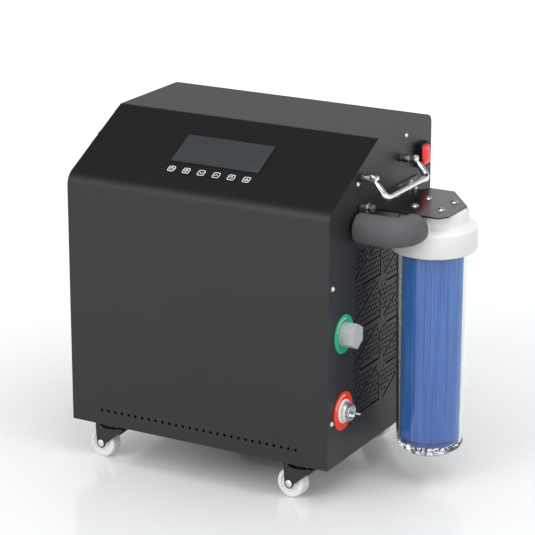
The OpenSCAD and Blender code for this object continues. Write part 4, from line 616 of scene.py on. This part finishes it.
def makeRocker():
    # local X runs down the panel, Y to the rear and Z out of it
    centre = at(cabinetWidth + rocker["pivot"], rocker["y"] + rocker["width"] / 2,
                rocker["z"] + rocker["height"] / 2)
    tilt = Matrix.Rotation(-math.radians(rocker["tilt"]), 4, "Y")
    matrix = frameAt(centre, (1, 0, 0), (0, 0, -1)) @ tilt
    halfLong = rocker["height"] / 2 - rocker["rim"] - rocker["gap"]
    halfWide = rocker["width"] / 2 - rocker["rim"] - rocker["side"]
    foot = rocker["foot"] - rocker["pivot"]
    crest = rocker["crest"] - rocker["pivot"]
    bm = bmesh.new()
    rings = []
    for level, inward, fall in rockerRings:
        radius = max(rocker["cornerR"] - inward / 3, rocker["leastR"])
        ring = []
        for p in roundedBox(2 * (halfLong - inward), 2 * (halfWide - inward), radius, 6):
            drop = rocker["proud"] * fall * (p.x / halfLong) ** 2
            ring.append(matrix @ Vector((p.x, p.y, foot + (crest - foot) * level - drop)))
        rings.append(ring)
    loft(bm, rings, ends=True)
    reach = rocker["pinHalf"]
    lathe(bm, [(0, -reach), (rocker["pinR"], -reach), (rocker["pinR"], reach), (0, reach)],
          matrix @ Matrix.Rotation(math.radians(90), 4, "X"), 16)
    # marks for on, a bar, and off, a ring
    lift = crest - rocker["proud"] * (rocker["markAt"] / halfLong) ** 2
    stroke(bm, [(-rocker["barHalf"], 0), (rocker["barHalf"], 0)], rocker["barWidth"],
           matrix @ Matrix.Translation((-rocker["markAt"], 0, lift)), -rocker["sunk"], rocker["ink"], 1)
    arcStroke(bm, rocker["ringR"], 0, 360, rocker["ringWidth"],
              matrix @ Matrix.Translation((rocker["markAt"], 0, lift)), -rocker["sunk"], rocker["ink"], 1, 20)
    makePiece("switchRocker", bm, ["redRocker", "ringMark"], bodyOf["switch_rocker"],
              ["switch_rocker"], 40)


makeRocker()

# handles: the left pair of posts sits further back; play is the gap on each side of a bail's eye
handle = {"y": 140, "leftBack": 27, "span": 107, "z": 361, "drop": 50, "pinR": 2, "play": 0.15}
post = {"radius": 5.25, "length": 13, "pinOut": 5.2, "grooveFrom": 2.6, "grooveTo": 4.8, "groove": 0.7,
        "slope": 0.5, "edge": 1.2, "tongueT": 4.2, "tongueW": 9, "tongueIn": 1, "tongueEdge": 0.4,
        "headR": 3.25, "headT": 1.2, "studR": 3, "studL": 10, "nutR": 5.75, "nutFrom": 7.4, "nutTo": 2.4}
bail = {"rodR": 4, "arm": 29, "bend": 8, "eyeR": 4.8, "eyeT": 4.4, "eyeEdge": 1.0, "chamfer": 0.3,
        "neckAt": 3.6, "neckR": [2.0, 2.15, 3.1, 3.85], "neckShares": (0, 0.06, 0.2, 0.4)}


def handleMiddle(out):
    return handle["y"] if out > 0 else handle["y"] + handle["leftBack"]


def addPost(bm, out, way):
    # one post with its tongue, the pin through the bail's eye, and the stud and nut inside the panel
    r, top, groove = post["radius"], post["length"], post["radius"] - post["groove"]
    pivot = top + post["pinOut"]
    point = at(cabinetWidth if out > 0 else 0, handleMiddle(out) + way * handle["span"] / 2, handle["z"])
    matrix = frameAt(point, (out, 0, 0), (0, 0, -out))
    lathe(bm, [(0, 0), (r, 0), (r, post["grooveFrom"]), (groove, post["grooveFrom"] + post["slope"]),
               (groove, post["grooveTo"] - post["slope"]), (r, post["grooveTo"]), (r, top - post["edge"]),
               (r - post["edge"] / 3, top - post["edge"] / 3), (r - post["edge"], top), (0, top)], matrix, 40)
    half, thick = post["tongueW"] / 2, post["tongueT"] / 2
    loop = [Vector((-half, top - post["tongueIn"], 0)), Vector((half, top - post["tongueIn"], 0))]
    loop += [Vector((half * math.cos(a), pivot + half * math.sin(a), 0))
             for a in [math.pi * k / 12 for k in range(13)]]
    flat = matrix @ Matrix.Rotation(math.radians(90), 4, "X")
    slab(bm, loop, flat, -thick, thick, post["tongueEdge"], 1)
    pin = frameAt(matrix @ Vector((0, 0, pivot)), (0, way, 0), (0, 0, -1))
    end, headR, headT = thick + handle["play"] * 2 + bail["eyeT"], post["headR"], post["headT"]
    lathe(bm, [(0, 0), (handle["pinR"], 0), (handle["pinR"], end), (headR, end), (headR, end + headT / 2),
               (0.8 * headR, end + headT), (0, end + headT)], pin, 28)
    lathe(bm, [(0, -post["studL"]), (post["studR"], -post["studL"]), (post["studR"], 1), (0, 1)], matrix, 20)
    lathe(bm, [(0, -post["nutFrom"]), (post["nutR"], -post["nutFrom"]), (post["nutR"], -post["nutTo"]),
               (0, -post["nutTo"])], matrix, 6, 1)


def makePosts():
    bm = bmesh.new()
    for out in (1, -1):
        for way in (-1, 1):
            addPost(bm, out, way)
    makePiece("handlePosts", bm, ["nickel", "chrome"], bodyOf["handle_posts"],
              ["handle_posts"], 30)


def makeBail(name, node, out):
    drop = math.radians(handle["drop"])
    pivot = post["length"] + post["pinOut"]
    start = at(cabinetWidth + pivot if out > 0 else -pivot, handleMiddle(out), handle["z"])
    arm = Vector((out * math.cos(drop), 0, -math.sin(drop)))
    eyeY = handle["span"] / 2 + post["tongueT"] / 2 + handle["play"] + bail["eyeT"] / 2

    def spot(along, y):
        return start + (arm * along + Vector((0, y, 0))) / 1000

    bm = bmesh.new()
    corners = [spot(bail["neckAt"], -eyeY), spot(bail["arm"], -eyeY), spot(bail["arm"], eyeY),
               spot(bail["neckAt"], eyeY)]
    path = bentPath(corners, bail["bend"] / 1000, 10)
    lead = [path[0].lerp(path[1], share) for share in bail["neckShares"]]
    tail = [path[-1].lerp(path[-2], share) for share in reversed(bail["neckShares"])]
    radii = bail["neckR"] + [bail["rodR"]] * (len(path) - 2) + bail["neckR"][::-1]
    sweep(bm, lead + path[1:-1] + tail, [r / 1000 for r in radii], 28)
    half, r, edge = bail["eyeT"] / 2, bail["eyeR"], bail["eyeEdge"]
    bore, cut = handle["pinR"] + 0.05, bail["chamfer"]
    for way in (-1, 1):
        lathe(bm, [(bore, cut - half), (bore + cut, -half), (r - 0.9 * edge, -half),
                   (r - 0.25 * edge, 0.35 * edge - half), (r, edge - half), (r, half - edge),
                   (r - 0.25 * edge, half - 0.35 * edge), (r - 0.9 * edge, half), (bore + cut, half),
                   (bore, half - cut)], frameAt(spot(0, way * eyeY), (0, 1, 0), arm), 40, 0, True)
    makePiece(name, bm, ["chrome"], bodyOf[node], [node], 40)


makePosts()
makeBail("rightBail", "right_bail", 1)
makeBail("leftBail", "left_bail", -1)
print("switch and handles made")

# water filter
filterAxis = {"x": 445, "y": 159, "skirt": 260.5, "foot": -9.5}
filterFrame = frameAt(at(filterAxis["x"], filterAxis["y"], 0), (0, 0, 1), (1, 0, 0))
bowl = {"footR": 43, "wall": 3.2, "floor": 7, "ringH": 6, "collarTop": 280.5, "ribs": 14, "segments": 168}


def ribbedRing(radius, ribRadius, height):
    # ribs with steep flanks round the foot of the bowl
    ring = []
    for k in range(bowl["segments"]):
        angle = 2 * math.pi * k / bowl["segments"]
        share = min(1, max(0, 0.5 + 1.6 * math.cos(bowl["ribs"] * angle)))
        r = radius + (ribRadius - radius) * share
        ring.append(filterFrame @ Vector((r * math.cos(angle), r * math.sin(angle), height)))
    return ring


def makeBowl():
    foot, base = filterAxis["foot"], filterAxis["foot"] + bowl["ringH"]
    inner, floor = bowl["footR"] - bowl["wall"], base + bowl["floor"]
    top = filterAxis["skirt"] - 0.3
    # radius between the ribs, radius at a rib, height: up the outside, then down the inside, with a flat
    # cap of 0.01 mm at each middle
    rings = [(0.01, 0.01, base), (27.4, 27.4, base), (28, 28, base - 0.6), (28, 28, foot + 0.6),
             (28.6, 28.6, foot), (33.4, 33.4, foot), (34, 34, foot + 0.7), (34.4, 36.4, foot + 2.2),
             (35.0, 40.4, base - 0.4), (36.6, 42.2, base + 1.4), (38.6, 42.8, base + 4),
             (40.6, 42.95, base + 7), (42.4, 43.0, base + 10), (43.0, 43.0, base + 12),
             (43.2, 43.2, base + 20), (46.9, 46.9, top - 4), (47.3, 47.3, top - 0.6), (48.2, 48.2, top + 1.0),
             (50, 50, top + 3), (50, 50, bowl["collarTop"]), (43.8, 43.8, bowl["collarTop"]),
             (43.8, 43.8, filterAxis["skirt"]), (inner, inner, base + 16), (inner, inner, floor + 3),
             (inner - 0.9, inner - 0.9, floor + 0.9), (inner - 3, inner - 3, floor), (0.01, 0.01, floor)]
    bm = bmesh.new()
    loft(bm, [ribbedRing(*ring) for ring in rings], ends=True)
    makePiece("filterBowl", bm, ["clear"], bodyOf["filter_bowl"], ["filter_bowl"])


makeBowl()

mediaLow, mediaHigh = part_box("cartridge_media")
pleats = {"count": 56, "radius": 38, "depth": 4.4, "bore": 14, "perFold": 8, "sharpness": 1.4}


def makePleats():
    around = pleats["count"] * pleats["perFold"]
    low, high = (mediaLow.z - corner.z) * 1000, (mediaHigh.z - corner.z) * 1000

    def foldRing(height):
        ring = []
        for k in range(around):
            angle = 2 * math.pi * k / around
            wave = abs(math.sin(pleats["count"] * angle / 2)) ** pleats["sharpness"]
            r = pleats["radius"] - pleats["depth"] * wave
            ring.append(filterFrame @ Vector((r * math.cos(angle), r * math.sin(angle), height)))
        return ring

    bm = bmesh.new()
    bore = [circlePoints(filterFrame, pleats["bore"], h, around) for h in (high, low)]
    loft(bm, [foldRing(low), foldRing(high)] + bore, along=True)
    makePiece("pleatedMedia", bm, ["media"], bodyOf["cartridge_media"],
              ["cartridge_media"], 60)


makePleats()

# the sleeve's cut ends are drawn in by lip and by edge, at these shares of the first and last stretch
foamSleeve = {"y": 72, "z": 300, "start": 382.3, "end": 103.2, "radius": 19, "bore": 9.6, "bend": 24,
              "lip": 1.4, "edge": 0.4, "leadShares": (0, 0.02, 0.06), "tailShares": (0.1, 0.04, 0)}


def makeFoam():
    f = foamSleeve
    points = [at(f["start"], f["y"], f["z"]), at(filterAxis["x"], f["y"], f["z"]),
              at(filterAxis["x"], f["end"], f["z"])]
    path = bentPath(points, f["bend"] / 1000, 16)
    lead = [path[0].lerp(path[1], share) for share in f["leadShares"]]
    tail = [path[-1].lerp(path[-2], share) for share in f["tailShares"]]
    middle = lead + path[1:-1] + tail
    cut = [f["radius"] - f["lip"], f["radius"] - f["edge"]]
    radii = cut + [f["radius"]] * (len(middle) - 4) + cut[::-1]
    bm = bmesh.new()
    sweep(bm, middle, [r / 1000 for r in radii], 56, f["bore"] / 1000)
    makePiece("foamSleeve", bm, ["foam"], bodyOf["front_hose_foam"],
              ["front_hose_foam"], 50)


makeFoam()
print("filter made")

# water ports; each thread ridge rises and falls within one pitch
port = {"y": 40, "inletZ": 68, "outletZ": 170, "ringT": 1.2}
inlet = {"threadR": 12.5, "flangeR": 15.5, "flangeT": 2.5, "barrelR": 12.9, "barrelL": 5, "boreR": 9.3,
         "nozzleR": 11, "nozzleL": 4.5, "behind": 16, "pitch": 1.5, "ridge": 0.8, "runOut": 1.6,
         "start": 0.3, "crestFrom": 0.55, "crestTo": 0.8, "rootFrom": 1.4}


def portFrame(z):
    return frameAt(at(cabinetWidth, port["y"], z), (1, 0, 0), (0, 0, 1))


def makeInlet():
    matrix = portFrame(port["inletZ"])
    face = port["ringT"]
    seat = face + inlet["flangeT"]
    end = seat + inlet["barrelL"]
    bore, thread, barrel = inlet["boreR"], inlet["threadR"], inlet["barrelR"]
    root = barrel - inlet["ridge"]
    bm = bmesh.new()
    # barrel with its thread drawn as ridges, and a chamfer at its end
    profile = [(bore, -inlet["behind"]), (thread, -inlet["behind"]), (thread, seat)]
    for k in range(int((inlet["barrelL"] - inlet["runOut"]) / inlet["pitch"])):
        h = seat + inlet["start"] + k * inlet["pitch"]
        profile += [(root, h), (barrel, h + inlet["crestFrom"]), (barrel, h + inlet["crestTo"]),
                    (root, h + inlet["rootFrom"])]
    profile += [(barrel - 0.4, end - 1.2), (barrel - 1.5, end), (bore, end)]
    lathe(bm, profile, matrix, 72, 0, True)
    # flange over the ring
    rim = inlet["flangeR"]
    lathe(bm, [(thread, face), (rim - 0.4, face), (rim, face + 0.4), (rim, seat - 0.6), (rim - 0.6, seat),
               (thread, seat)], matrix, 72, 1, True)
    # nozzle with a groove round it
    r, tip = inlet["nozzleR"], end + inlet["nozzleL"]
    lathe(bm, [(bore, end - 0.5), (r, end - 0.5), (r, end + 1.2), (r - 0.4, end + 1.5), (r - 0.4, end + 2.1),
               (r, end + 2.4), (r, tip - 0.5), (r - 0.5, tip), (bore + 0.3, tip), (bore, tip - 0.3)],
          matrix, 64, 2, True)
    makePiece("inletFitting", bm, ["zinc", "whiteWheel", "nozzle"], bodyOf["inlet_fitting"],
              ["inlet_fitting"], 30)


makeInlet()


def runTree(name, build, values):
    # build(tree, inputs) returns the node that ends the shape; the result is a plain mesh
    tree = bpy.data.node_groups.new(name, "GeometryNodeTree")
    tree.interface.new_socket("Geometry", in_out="OUTPUT", socket_type="NodeSocketGeometry")
    kinds = {int: "NodeSocketInt", float: "NodeSocketFloat", bpy.types.Material: "NodeSocketMaterial"}
    ids = {}
    for label, value in values.items():
        socket = tree.interface.new_socket(label, in_out="INPUT", socket_type=kinds[type(value)])
        ids[label] = socket.identifier
    inputs = addNode(tree, "NodeGroupInput").outputs
    shape = addNode(tree, "GeometryNodeRealizeInstances", {"Geometry": build(tree, inputs)})
    dressed = addNode(tree, "GeometryNodeSetMaterial", {"Geometry": shape, "Material": inputs["Finish"]})
    addNode(tree, "NodeGroupOutput", {"Geometry": dressed})
    holder = bpy.data.objects.new(name, bpy.data.meshes.new(name))
    bpy.context.scene.collection.objects.link(holder)
    modifier = holder.modifiers.new(name, "NODES")
    modifier.node_group = tree
    for label, value in values.items():
        modifier[ids[label]] = value
    view = bpy.context.evaluated_depsgraph_get()
    mesh = bpy.data.meshes.new_from_object(holder.evaluated_get(view))
    bpy.data.objects.remove(holder)
    return mesh


def placedMesh(mesh, matrix):
    bm = bmesh.new()
    bm.from_mesh(mesh)
    bmesh.ops.transform(bm, matrix=matrix, verts=bm.verts)
    return bm


def ringOfMarks(tree, inputs):
    # chevrons side by side along an arc, each turned with it
    points = addNode(tree, "GeometryNodePoints", {"Count": inputs["Count"]})
    index = addNode(tree, "GeometryNodeInputIndex")
    steps = addNode(tree, "ShaderNodeMath", {"operation": "MULTIPLY", 0: inputs["Step"], 1: index})
    angle = addNode(tree, "ShaderNodeMath", {"operation": "ADD", 0: inputs["Start"], 1: steps})
    across = addNode(tree, "ShaderNodeMath", {"operation": "COSINE", 0: angle})
    up = addNode(tree, "ShaderNodeMath", {"operation": "SINE", 0: angle})
    place = addNode(tree, "ShaderNodeCombineXYZ", {
        "X": addNode(tree, "ShaderNodeMath", {"operation": "MULTIPLY", 0: inputs["Radius"], 1: across}),
        "Y": addNode(tree, "ShaderNodeMath", {"operation": "MULTIPLY", 0: inputs["Radius"], 1: up}),
        "Z": inputs["Lift"]})
    placed = addNode(tree, "GeometryNodeSetPosition", {"Geometry": points, "Position": place})
    size = addNode(tree, "ShaderNodeCombineXYZ", {
        "X": inputs["Length"], "Y": inputs["Width"], "Z": inputs["Thick"]})
    chevron = addNode(tree, "GeometryNodeJoinGeometry")
    for side in (1, -1):
        slant = addNode(tree, "ShaderNodeMath", {"operation": "MULTIPLY", 0: inputs["Slant"], 1: side})
        aside = addNode(tree, "ShaderNodeMath", {"operation": "MULTIPLY", 0: inputs["Spread"], 1: side})
        bar = addNode(tree, "GeometryNodeMeshCube", {"Size": size})
        setNode(tree, chevron, {"Geometry": addNode(tree, "GeometryNodeTransform", {
            "Geometry": bar,
            "Translation": addNode(tree, "ShaderNodeCombineXYZ", {"Y": aside}),
            "Rotation": addNode(tree, "ShaderNodeCombineXYZ", {"Z": slant})})})
    turn = addNode(tree, "FunctionNodeEulerToRotation", {
        "Euler": addNode(tree, "ShaderNodeCombineXYZ", {"Z": angle})})
    return addNode(tree, "GeometryNodeInstanceOnPoints", {
        "Points": placed, "Instance": chevron, "Rotation": turn})


# arrows on each ring, in mm and degrees; spread is how far each half sits from the middle
marks = {"count": 7, "radius": 20.2, "start": -8, "step": 12.5, "length": 3.0, "width": 0.9, "thick": 0.3,
         "spread": 1.08, "slant": 40}


def makeRingMarks(name, z, node, outward):
    # arrows for the way the water goes, over the rear upper arc of the ring
    mesh = runTree(name, ringOfMarks, {
        "Count": marks["count"], "Radius": marks["radius"], "Start": math.radians(marks["start"]),
        "Step": math.radians(marks["step"]), "Length": marks["length"], "Width": marks["width"],
        "Thick": marks["thick"], "Spread": marks["spread"], "Lift": port["ringT"],
        "Slant": math.radians(marks["slant"]) * outward, "Finish": finishes["ringMark"]})
    makePiece(name, placedMesh(mesh, portFrame(z)), ["ringMark"], bodyOf[node])


makeRingMarks("outletMarks", port["outletZ"], "outlet_ring", -1)
makeRingMarks("inletMarks", port["inletZ"], "inlet_ring", 1)
print("water ports made")

# fan guard
guardLow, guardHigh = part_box("fan_guard")
guard = {"rings": 7, "hubR": 17.0, "wireR": 1.4, "spokes": 8, "hubEdge": 0.8, "lugs": 4, "lugT": 2.0,
         "lugR": 7.0, "lugHoleR": 2.2, "lugEdge": 0.3}


def wireRings(tree, inputs):
    # concentric rings of one wire, and spokes under them
    points = addNode(tree, "GeometryNodePoints", {"Count": inputs["Rings"]})
    index = addNode(tree, "GeometryNodeInputIndex")
    span = addNode(tree, "ShaderNodeMath", {"operation": "SUBTRACT", 0: inputs["Outer"], 1: inputs["Hub"]})
    step = addNode(tree, "ShaderNodeMath", {"operation": "DIVIDE", 0: span, 1: inputs["Rings"]})
    number = addNode(tree, "ShaderNodeMath", {"operation": "ADD", 0: index, 1: 1})
    beyond = addNode(tree, "ShaderNodeMath", {"operation": "MULTIPLY", 0: step, 1: number})
    radius = addNode(tree, "ShaderNodeMath", {"operation": "ADD", 0: inputs["Hub"], 1: beyond})
    size = addNode(tree, "ShaderNodeCombineXYZ", {"X": radius, "Y": radius, "Z": radius})
    hoop = addNode(tree, "GeometryNodeCurvePrimitiveCircle", {"Resolution": 96, "Radius": 1.0})
    hoops = addNode(tree, "GeometryNodeInstanceOnPoints", {"Points": points, "Instance": hoop, "Scale": size})
    loose = addNode(tree, "GeometryNodeRealizeInstances", {"Geometry": hoops})
    wire = addNode(tree, "GeometryNodeCurvePrimitiveCircle", {"Resolution": 12, "Radius": inputs["Wire"]})
    bent = addNode(tree, "GeometryNodeCurveToMesh", {"Curve": loose, "Profile Curve": wire})
    lifted = addNode(tree, "GeometryNodeTransform", {
        "Geometry": bent, "Translation": addNode(tree, "ShaderNodeCombineXYZ", {"Z": inputs["Lift"]})})
    legs = addNode(tree, "GeometryNodePoints", {"Count": inputs["Spokes"]})
    share = addNode(tree, "ShaderNodeMath", {"operation": "DIVIDE", 0: 2 * math.pi, 1: inputs["Spokes"]})
    angle = addNode(tree, "ShaderNodeMath", {"operation": "MULTIPLY", 0: index, 1: share})
    turn = addNode(tree, "FunctionNodeEulerToRotation", {
        "Euler": addNode(tree, "ShaderNodeCombineXYZ", {"Z": angle})})
    leg = addNode(tree, "GeometryNodeCurvePrimitiveLine", {
        "Start": addNode(tree, "ShaderNodeCombineXYZ", {"X": inputs["Hub"]}),
        "End": addNode(tree, "ShaderNodeCombineXYZ", {"X": inputs["Outer"]})})
    spokes = addNode(tree, "GeometryNodeInstanceOnPoints", {
        "Points": legs, "Instance": leg, "Rotation": turn})
    looseLegs = addNode(tree, "GeometryNodeRealizeInstances", {"Geometry": spokes})
    bars = addNode(tree, "GeometryNodeCurveToMesh", {
        "Curve": looseLegs, "Profile Curve": wire, "Fill Caps": True})
    low = addNode(tree, "GeometryNodeTransform", {
        "Geometry": bars, "Translation": addNode(tree, "ShaderNodeCombineXYZ", {"Z": inputs["Wire"]})})
    joined = addNode(tree, "GeometryNodeJoinGeometry", {"Geometry": lifted})
    setNode(tree, joined, {"Geometry": low})
    return joined


def makeGuard():
    middle = (guardLow + guardHigh) / 2
    matrix = frameAt(Vector((middle.x, guardLow.y, middle.z)), (0, 1, 0), (1, 0, 0))
    reach = (guardHigh.y - guardLow.y) * 1000
    outer = (guardHigh.x - guardLow.x) * 500 - guard["wireR"]
    mesh = runTree("guardWires", wireRings, {
        "Rings": guard["rings"], "Outer": outer, "Hub": guard["hubR"], "Wire": guard["wireR"],
        "Lift": reach - guard["wireR"], "Spokes": guard["spokes"], "Finish": finishes["powder"]})
    bm = placedMesh(mesh, matrix)
    hub, face = guard["hubR"], reach - guard["hubEdge"]
    lathe(bm, [(0, 0), (hub, 0), (hub, reach - guard["wireR"]), (hub - guard["hubEdge"], face), (0, face)],
          matrix, 48)
    hole, rim, top, edge = guard["lugHoleR"], guard["lugR"], guard["lugT"], guard["lugEdge"]
    away = outer - guard["wireR"] + rim
    for k in range(guard["lugs"]):
        turn = math.radians(45) + 2 * math.pi * k / guard["lugs"]
        lug = matrix @ Matrix.Translation((away * math.cos(turn), away * math.sin(turn), 0))
        lathe(bm, [(hole, 0), (rim, 0), (rim, top - edge), (rim - edge, top), (hole, top)], lug, 28, 0, True)
    makePiece("fanGuard", bm, ["powder"], bodyOf["fan_guard"], ["fan_guard"], 35)


makeGuard()
print("fan guard made")

# floor, camera and light
# half, near and far are in metres; the floor's glow grows from near to far, so the floor round the object's
# foot is left darker as painted shade
stageSizes = {"half": 6.0, "floorColour": "#dddfe0", "roughness": 0.16, "near": 0.05, "far": 2.8,
              "farGlow": 0.6}


def backdropRays(tree):
    # the camera's rays, and those that are mirrored or pass through glass: both show the background
    path = addNode(tree, "ShaderNodeLightPath")
    mirrored = addNode(tree, "ShaderNodeMath", {
        "operation": "MAXIMUM", 0: path.outputs["Is Glossy Ray"], 1: path.outputs["Is Transmission Ray"]})
    return path.outputs["Is Camera Ray"], mirrored


def makeFloor():
    mesh = bpy.data.meshes.new("floor")
    h = stageSizes["half"]
    mesh.from_pydata([(-h, -h, 0), (h, -h, 0), (h, h, 0), (-h, h, 0)], [], [(0, 1, 2, 3)])
    floor = bpy.data.objects.new("floor", mesh)
    bpy.context.scene.collection.objects.link(floor)
    material, tree, shader = newMaterial("studioFloor", stageSizes["floorColour"], stageSizes["roughness"])
    # whitened for the background's rays only, more with the distance, so that the lamps' shadow stays and the
    # floor near the object keeps a painted shade
    seen, mirrored = backdropRays(tree)
    shown = addNode(tree, "ShaderNodeMath", {"operation": "MAXIMUM", 0: seen, 1: mirrored})
    away = addNode(tree, "ShaderNodeVectorMath", {
        "operation": "LENGTH", 0: addNode(tree, "ShaderNodeTexCoord").outputs["Object"]})
    share = addNode(tree, "ShaderNodeMapRange", {
        "From Min": stageSizes["near"], "From Max": stageSizes["far"], "To Min": 0, "To Max": 1,
        "Value": away.outputs["Value"]})
    eased = addNode(tree, "ShaderNodeMath", {"operation": "POWER", 0: share, 1: 0.5})
    glow = addNode(tree, "ShaderNodeMath", {"operation": "MULTIPLY", 0: eased, 1: stageSizes["farGlow"]})
    setNode(tree, shader, {
        "Emission Color": (1, 1, 1, 1),
        "Emission Strength": addNode(tree, "ShaderNodeMath", {"operation": "MULTIPLY", 0: shown, 1: glow})})
    mesh.materials.append(material)


makeFloor()

# place in metres, turns in degrees, lens and sensor in mm
cameraSizes = {"place": (1.42847, -2.5878, 1.1984), "pitch": 72.36, "yaw": 29.17, "lens": 160.1, "sensor": 36,
               "reach": 50}


def makeCamera():
    data = bpy.data.cameras.new("camera")
    data.lens = cameraSizes["lens"]
    data.sensor_width = cameraSizes["sensor"]
    data.clip_end = cameraSizes["reach"]
    camera = bpy.data.objects.new("camera", data)
    camera.location = cameraSizes["place"]
    camera.rotation_euler = (math.radians(cameraSizes["pitch"]), 0, math.radians(cameraSizes["yaw"]))
    bpy.context.scene.collection.objects.link(camera)
    bpy.context.scene.camera = camera


makeCamera()

lampAim = (0, 0, 0.2)
lamps = {
    "front": {"place": (-0.8, -2.7, 2.1), "power": 38, "size": 2.0},
    "top": {"place": (1.2, -0.8, 2.8), "power": 34, "size": 2.2},
    "side": {"place": (2.8, -0.4, 1.5), "power": 12, "size": 1.6},
}


def makeLamp(name, place, power, size):
    data = bpy.data.lights.new(name, "AREA")
    data.energy = power
    data.size = size
    lamp = bpy.data.objects.new(name, data)
    lamp.location = place
    lamp.rotation_euler = (Vector(lampAim) - Vector(place)).to_track_quat("-Z", "Y").to_euler()
    bpy.context.scene.collection.objects.link(lamp)


for name, lamp in lamps.items():
    makeLamp(name, **lamp)

# the wall turns into a dim ceiling between these two heights; light is what shines on the object
sky = {"wallTop": 0.35, "ceiling": 0.55, "dim": 0.03, "light": 0.6}


def makeWorld():
    # white walls to the camera, in mirrors and through glass, softer as a light, under a dim ceiling
    world = bpy.data.worlds.new("studio")
    bpy.context.scene.world = world
    world.use_nodes = True
    tree = world.node_tree
    tree.nodes.clear()
    seen, mirrored = backdropRays(tree)
    up = addNode(tree, "ShaderNodeSeparateXYZ", {
        "Vector": addNode(tree, "ShaderNodeTexCoord").outputs["Generated"]})
    wall = addNode(tree, "ShaderNodeMapRange", {
        "From Min": sky["wallTop"], "From Max": sky["ceiling"], "To Min": 1.0, "To Max": sky["dim"],
        "Value": up.outputs["Z"]})
    more = addNode(tree, "ShaderNodeMath", {"operation": "SUBTRACT", 0: wall, 1: sky["light"]})
    inMirrors = addNode(tree, "ShaderNodeMath", {"operation": "MULTIPLY", 0: mirrored, 1: more})
    lit = addNode(tree, "ShaderNodeMath", {"operation": "ADD", 0: inMirrors, 1: sky["light"]})
    backdrop = addNode(tree, "ShaderNodeBackground", {
        "Color": (1, 1, 1, 1),
        "Strength": addNode(tree, "ShaderNodeMath", {"operation": "MAXIMUM", 0: lit, 1: seen})})
    addNode(tree, "ShaderNodeOutputWorld", {"Surface": backdrop})


makeWorld()
bpy.context.scene.view_settings.view_transform = "Standard"
print("floor, camera and lamps set")
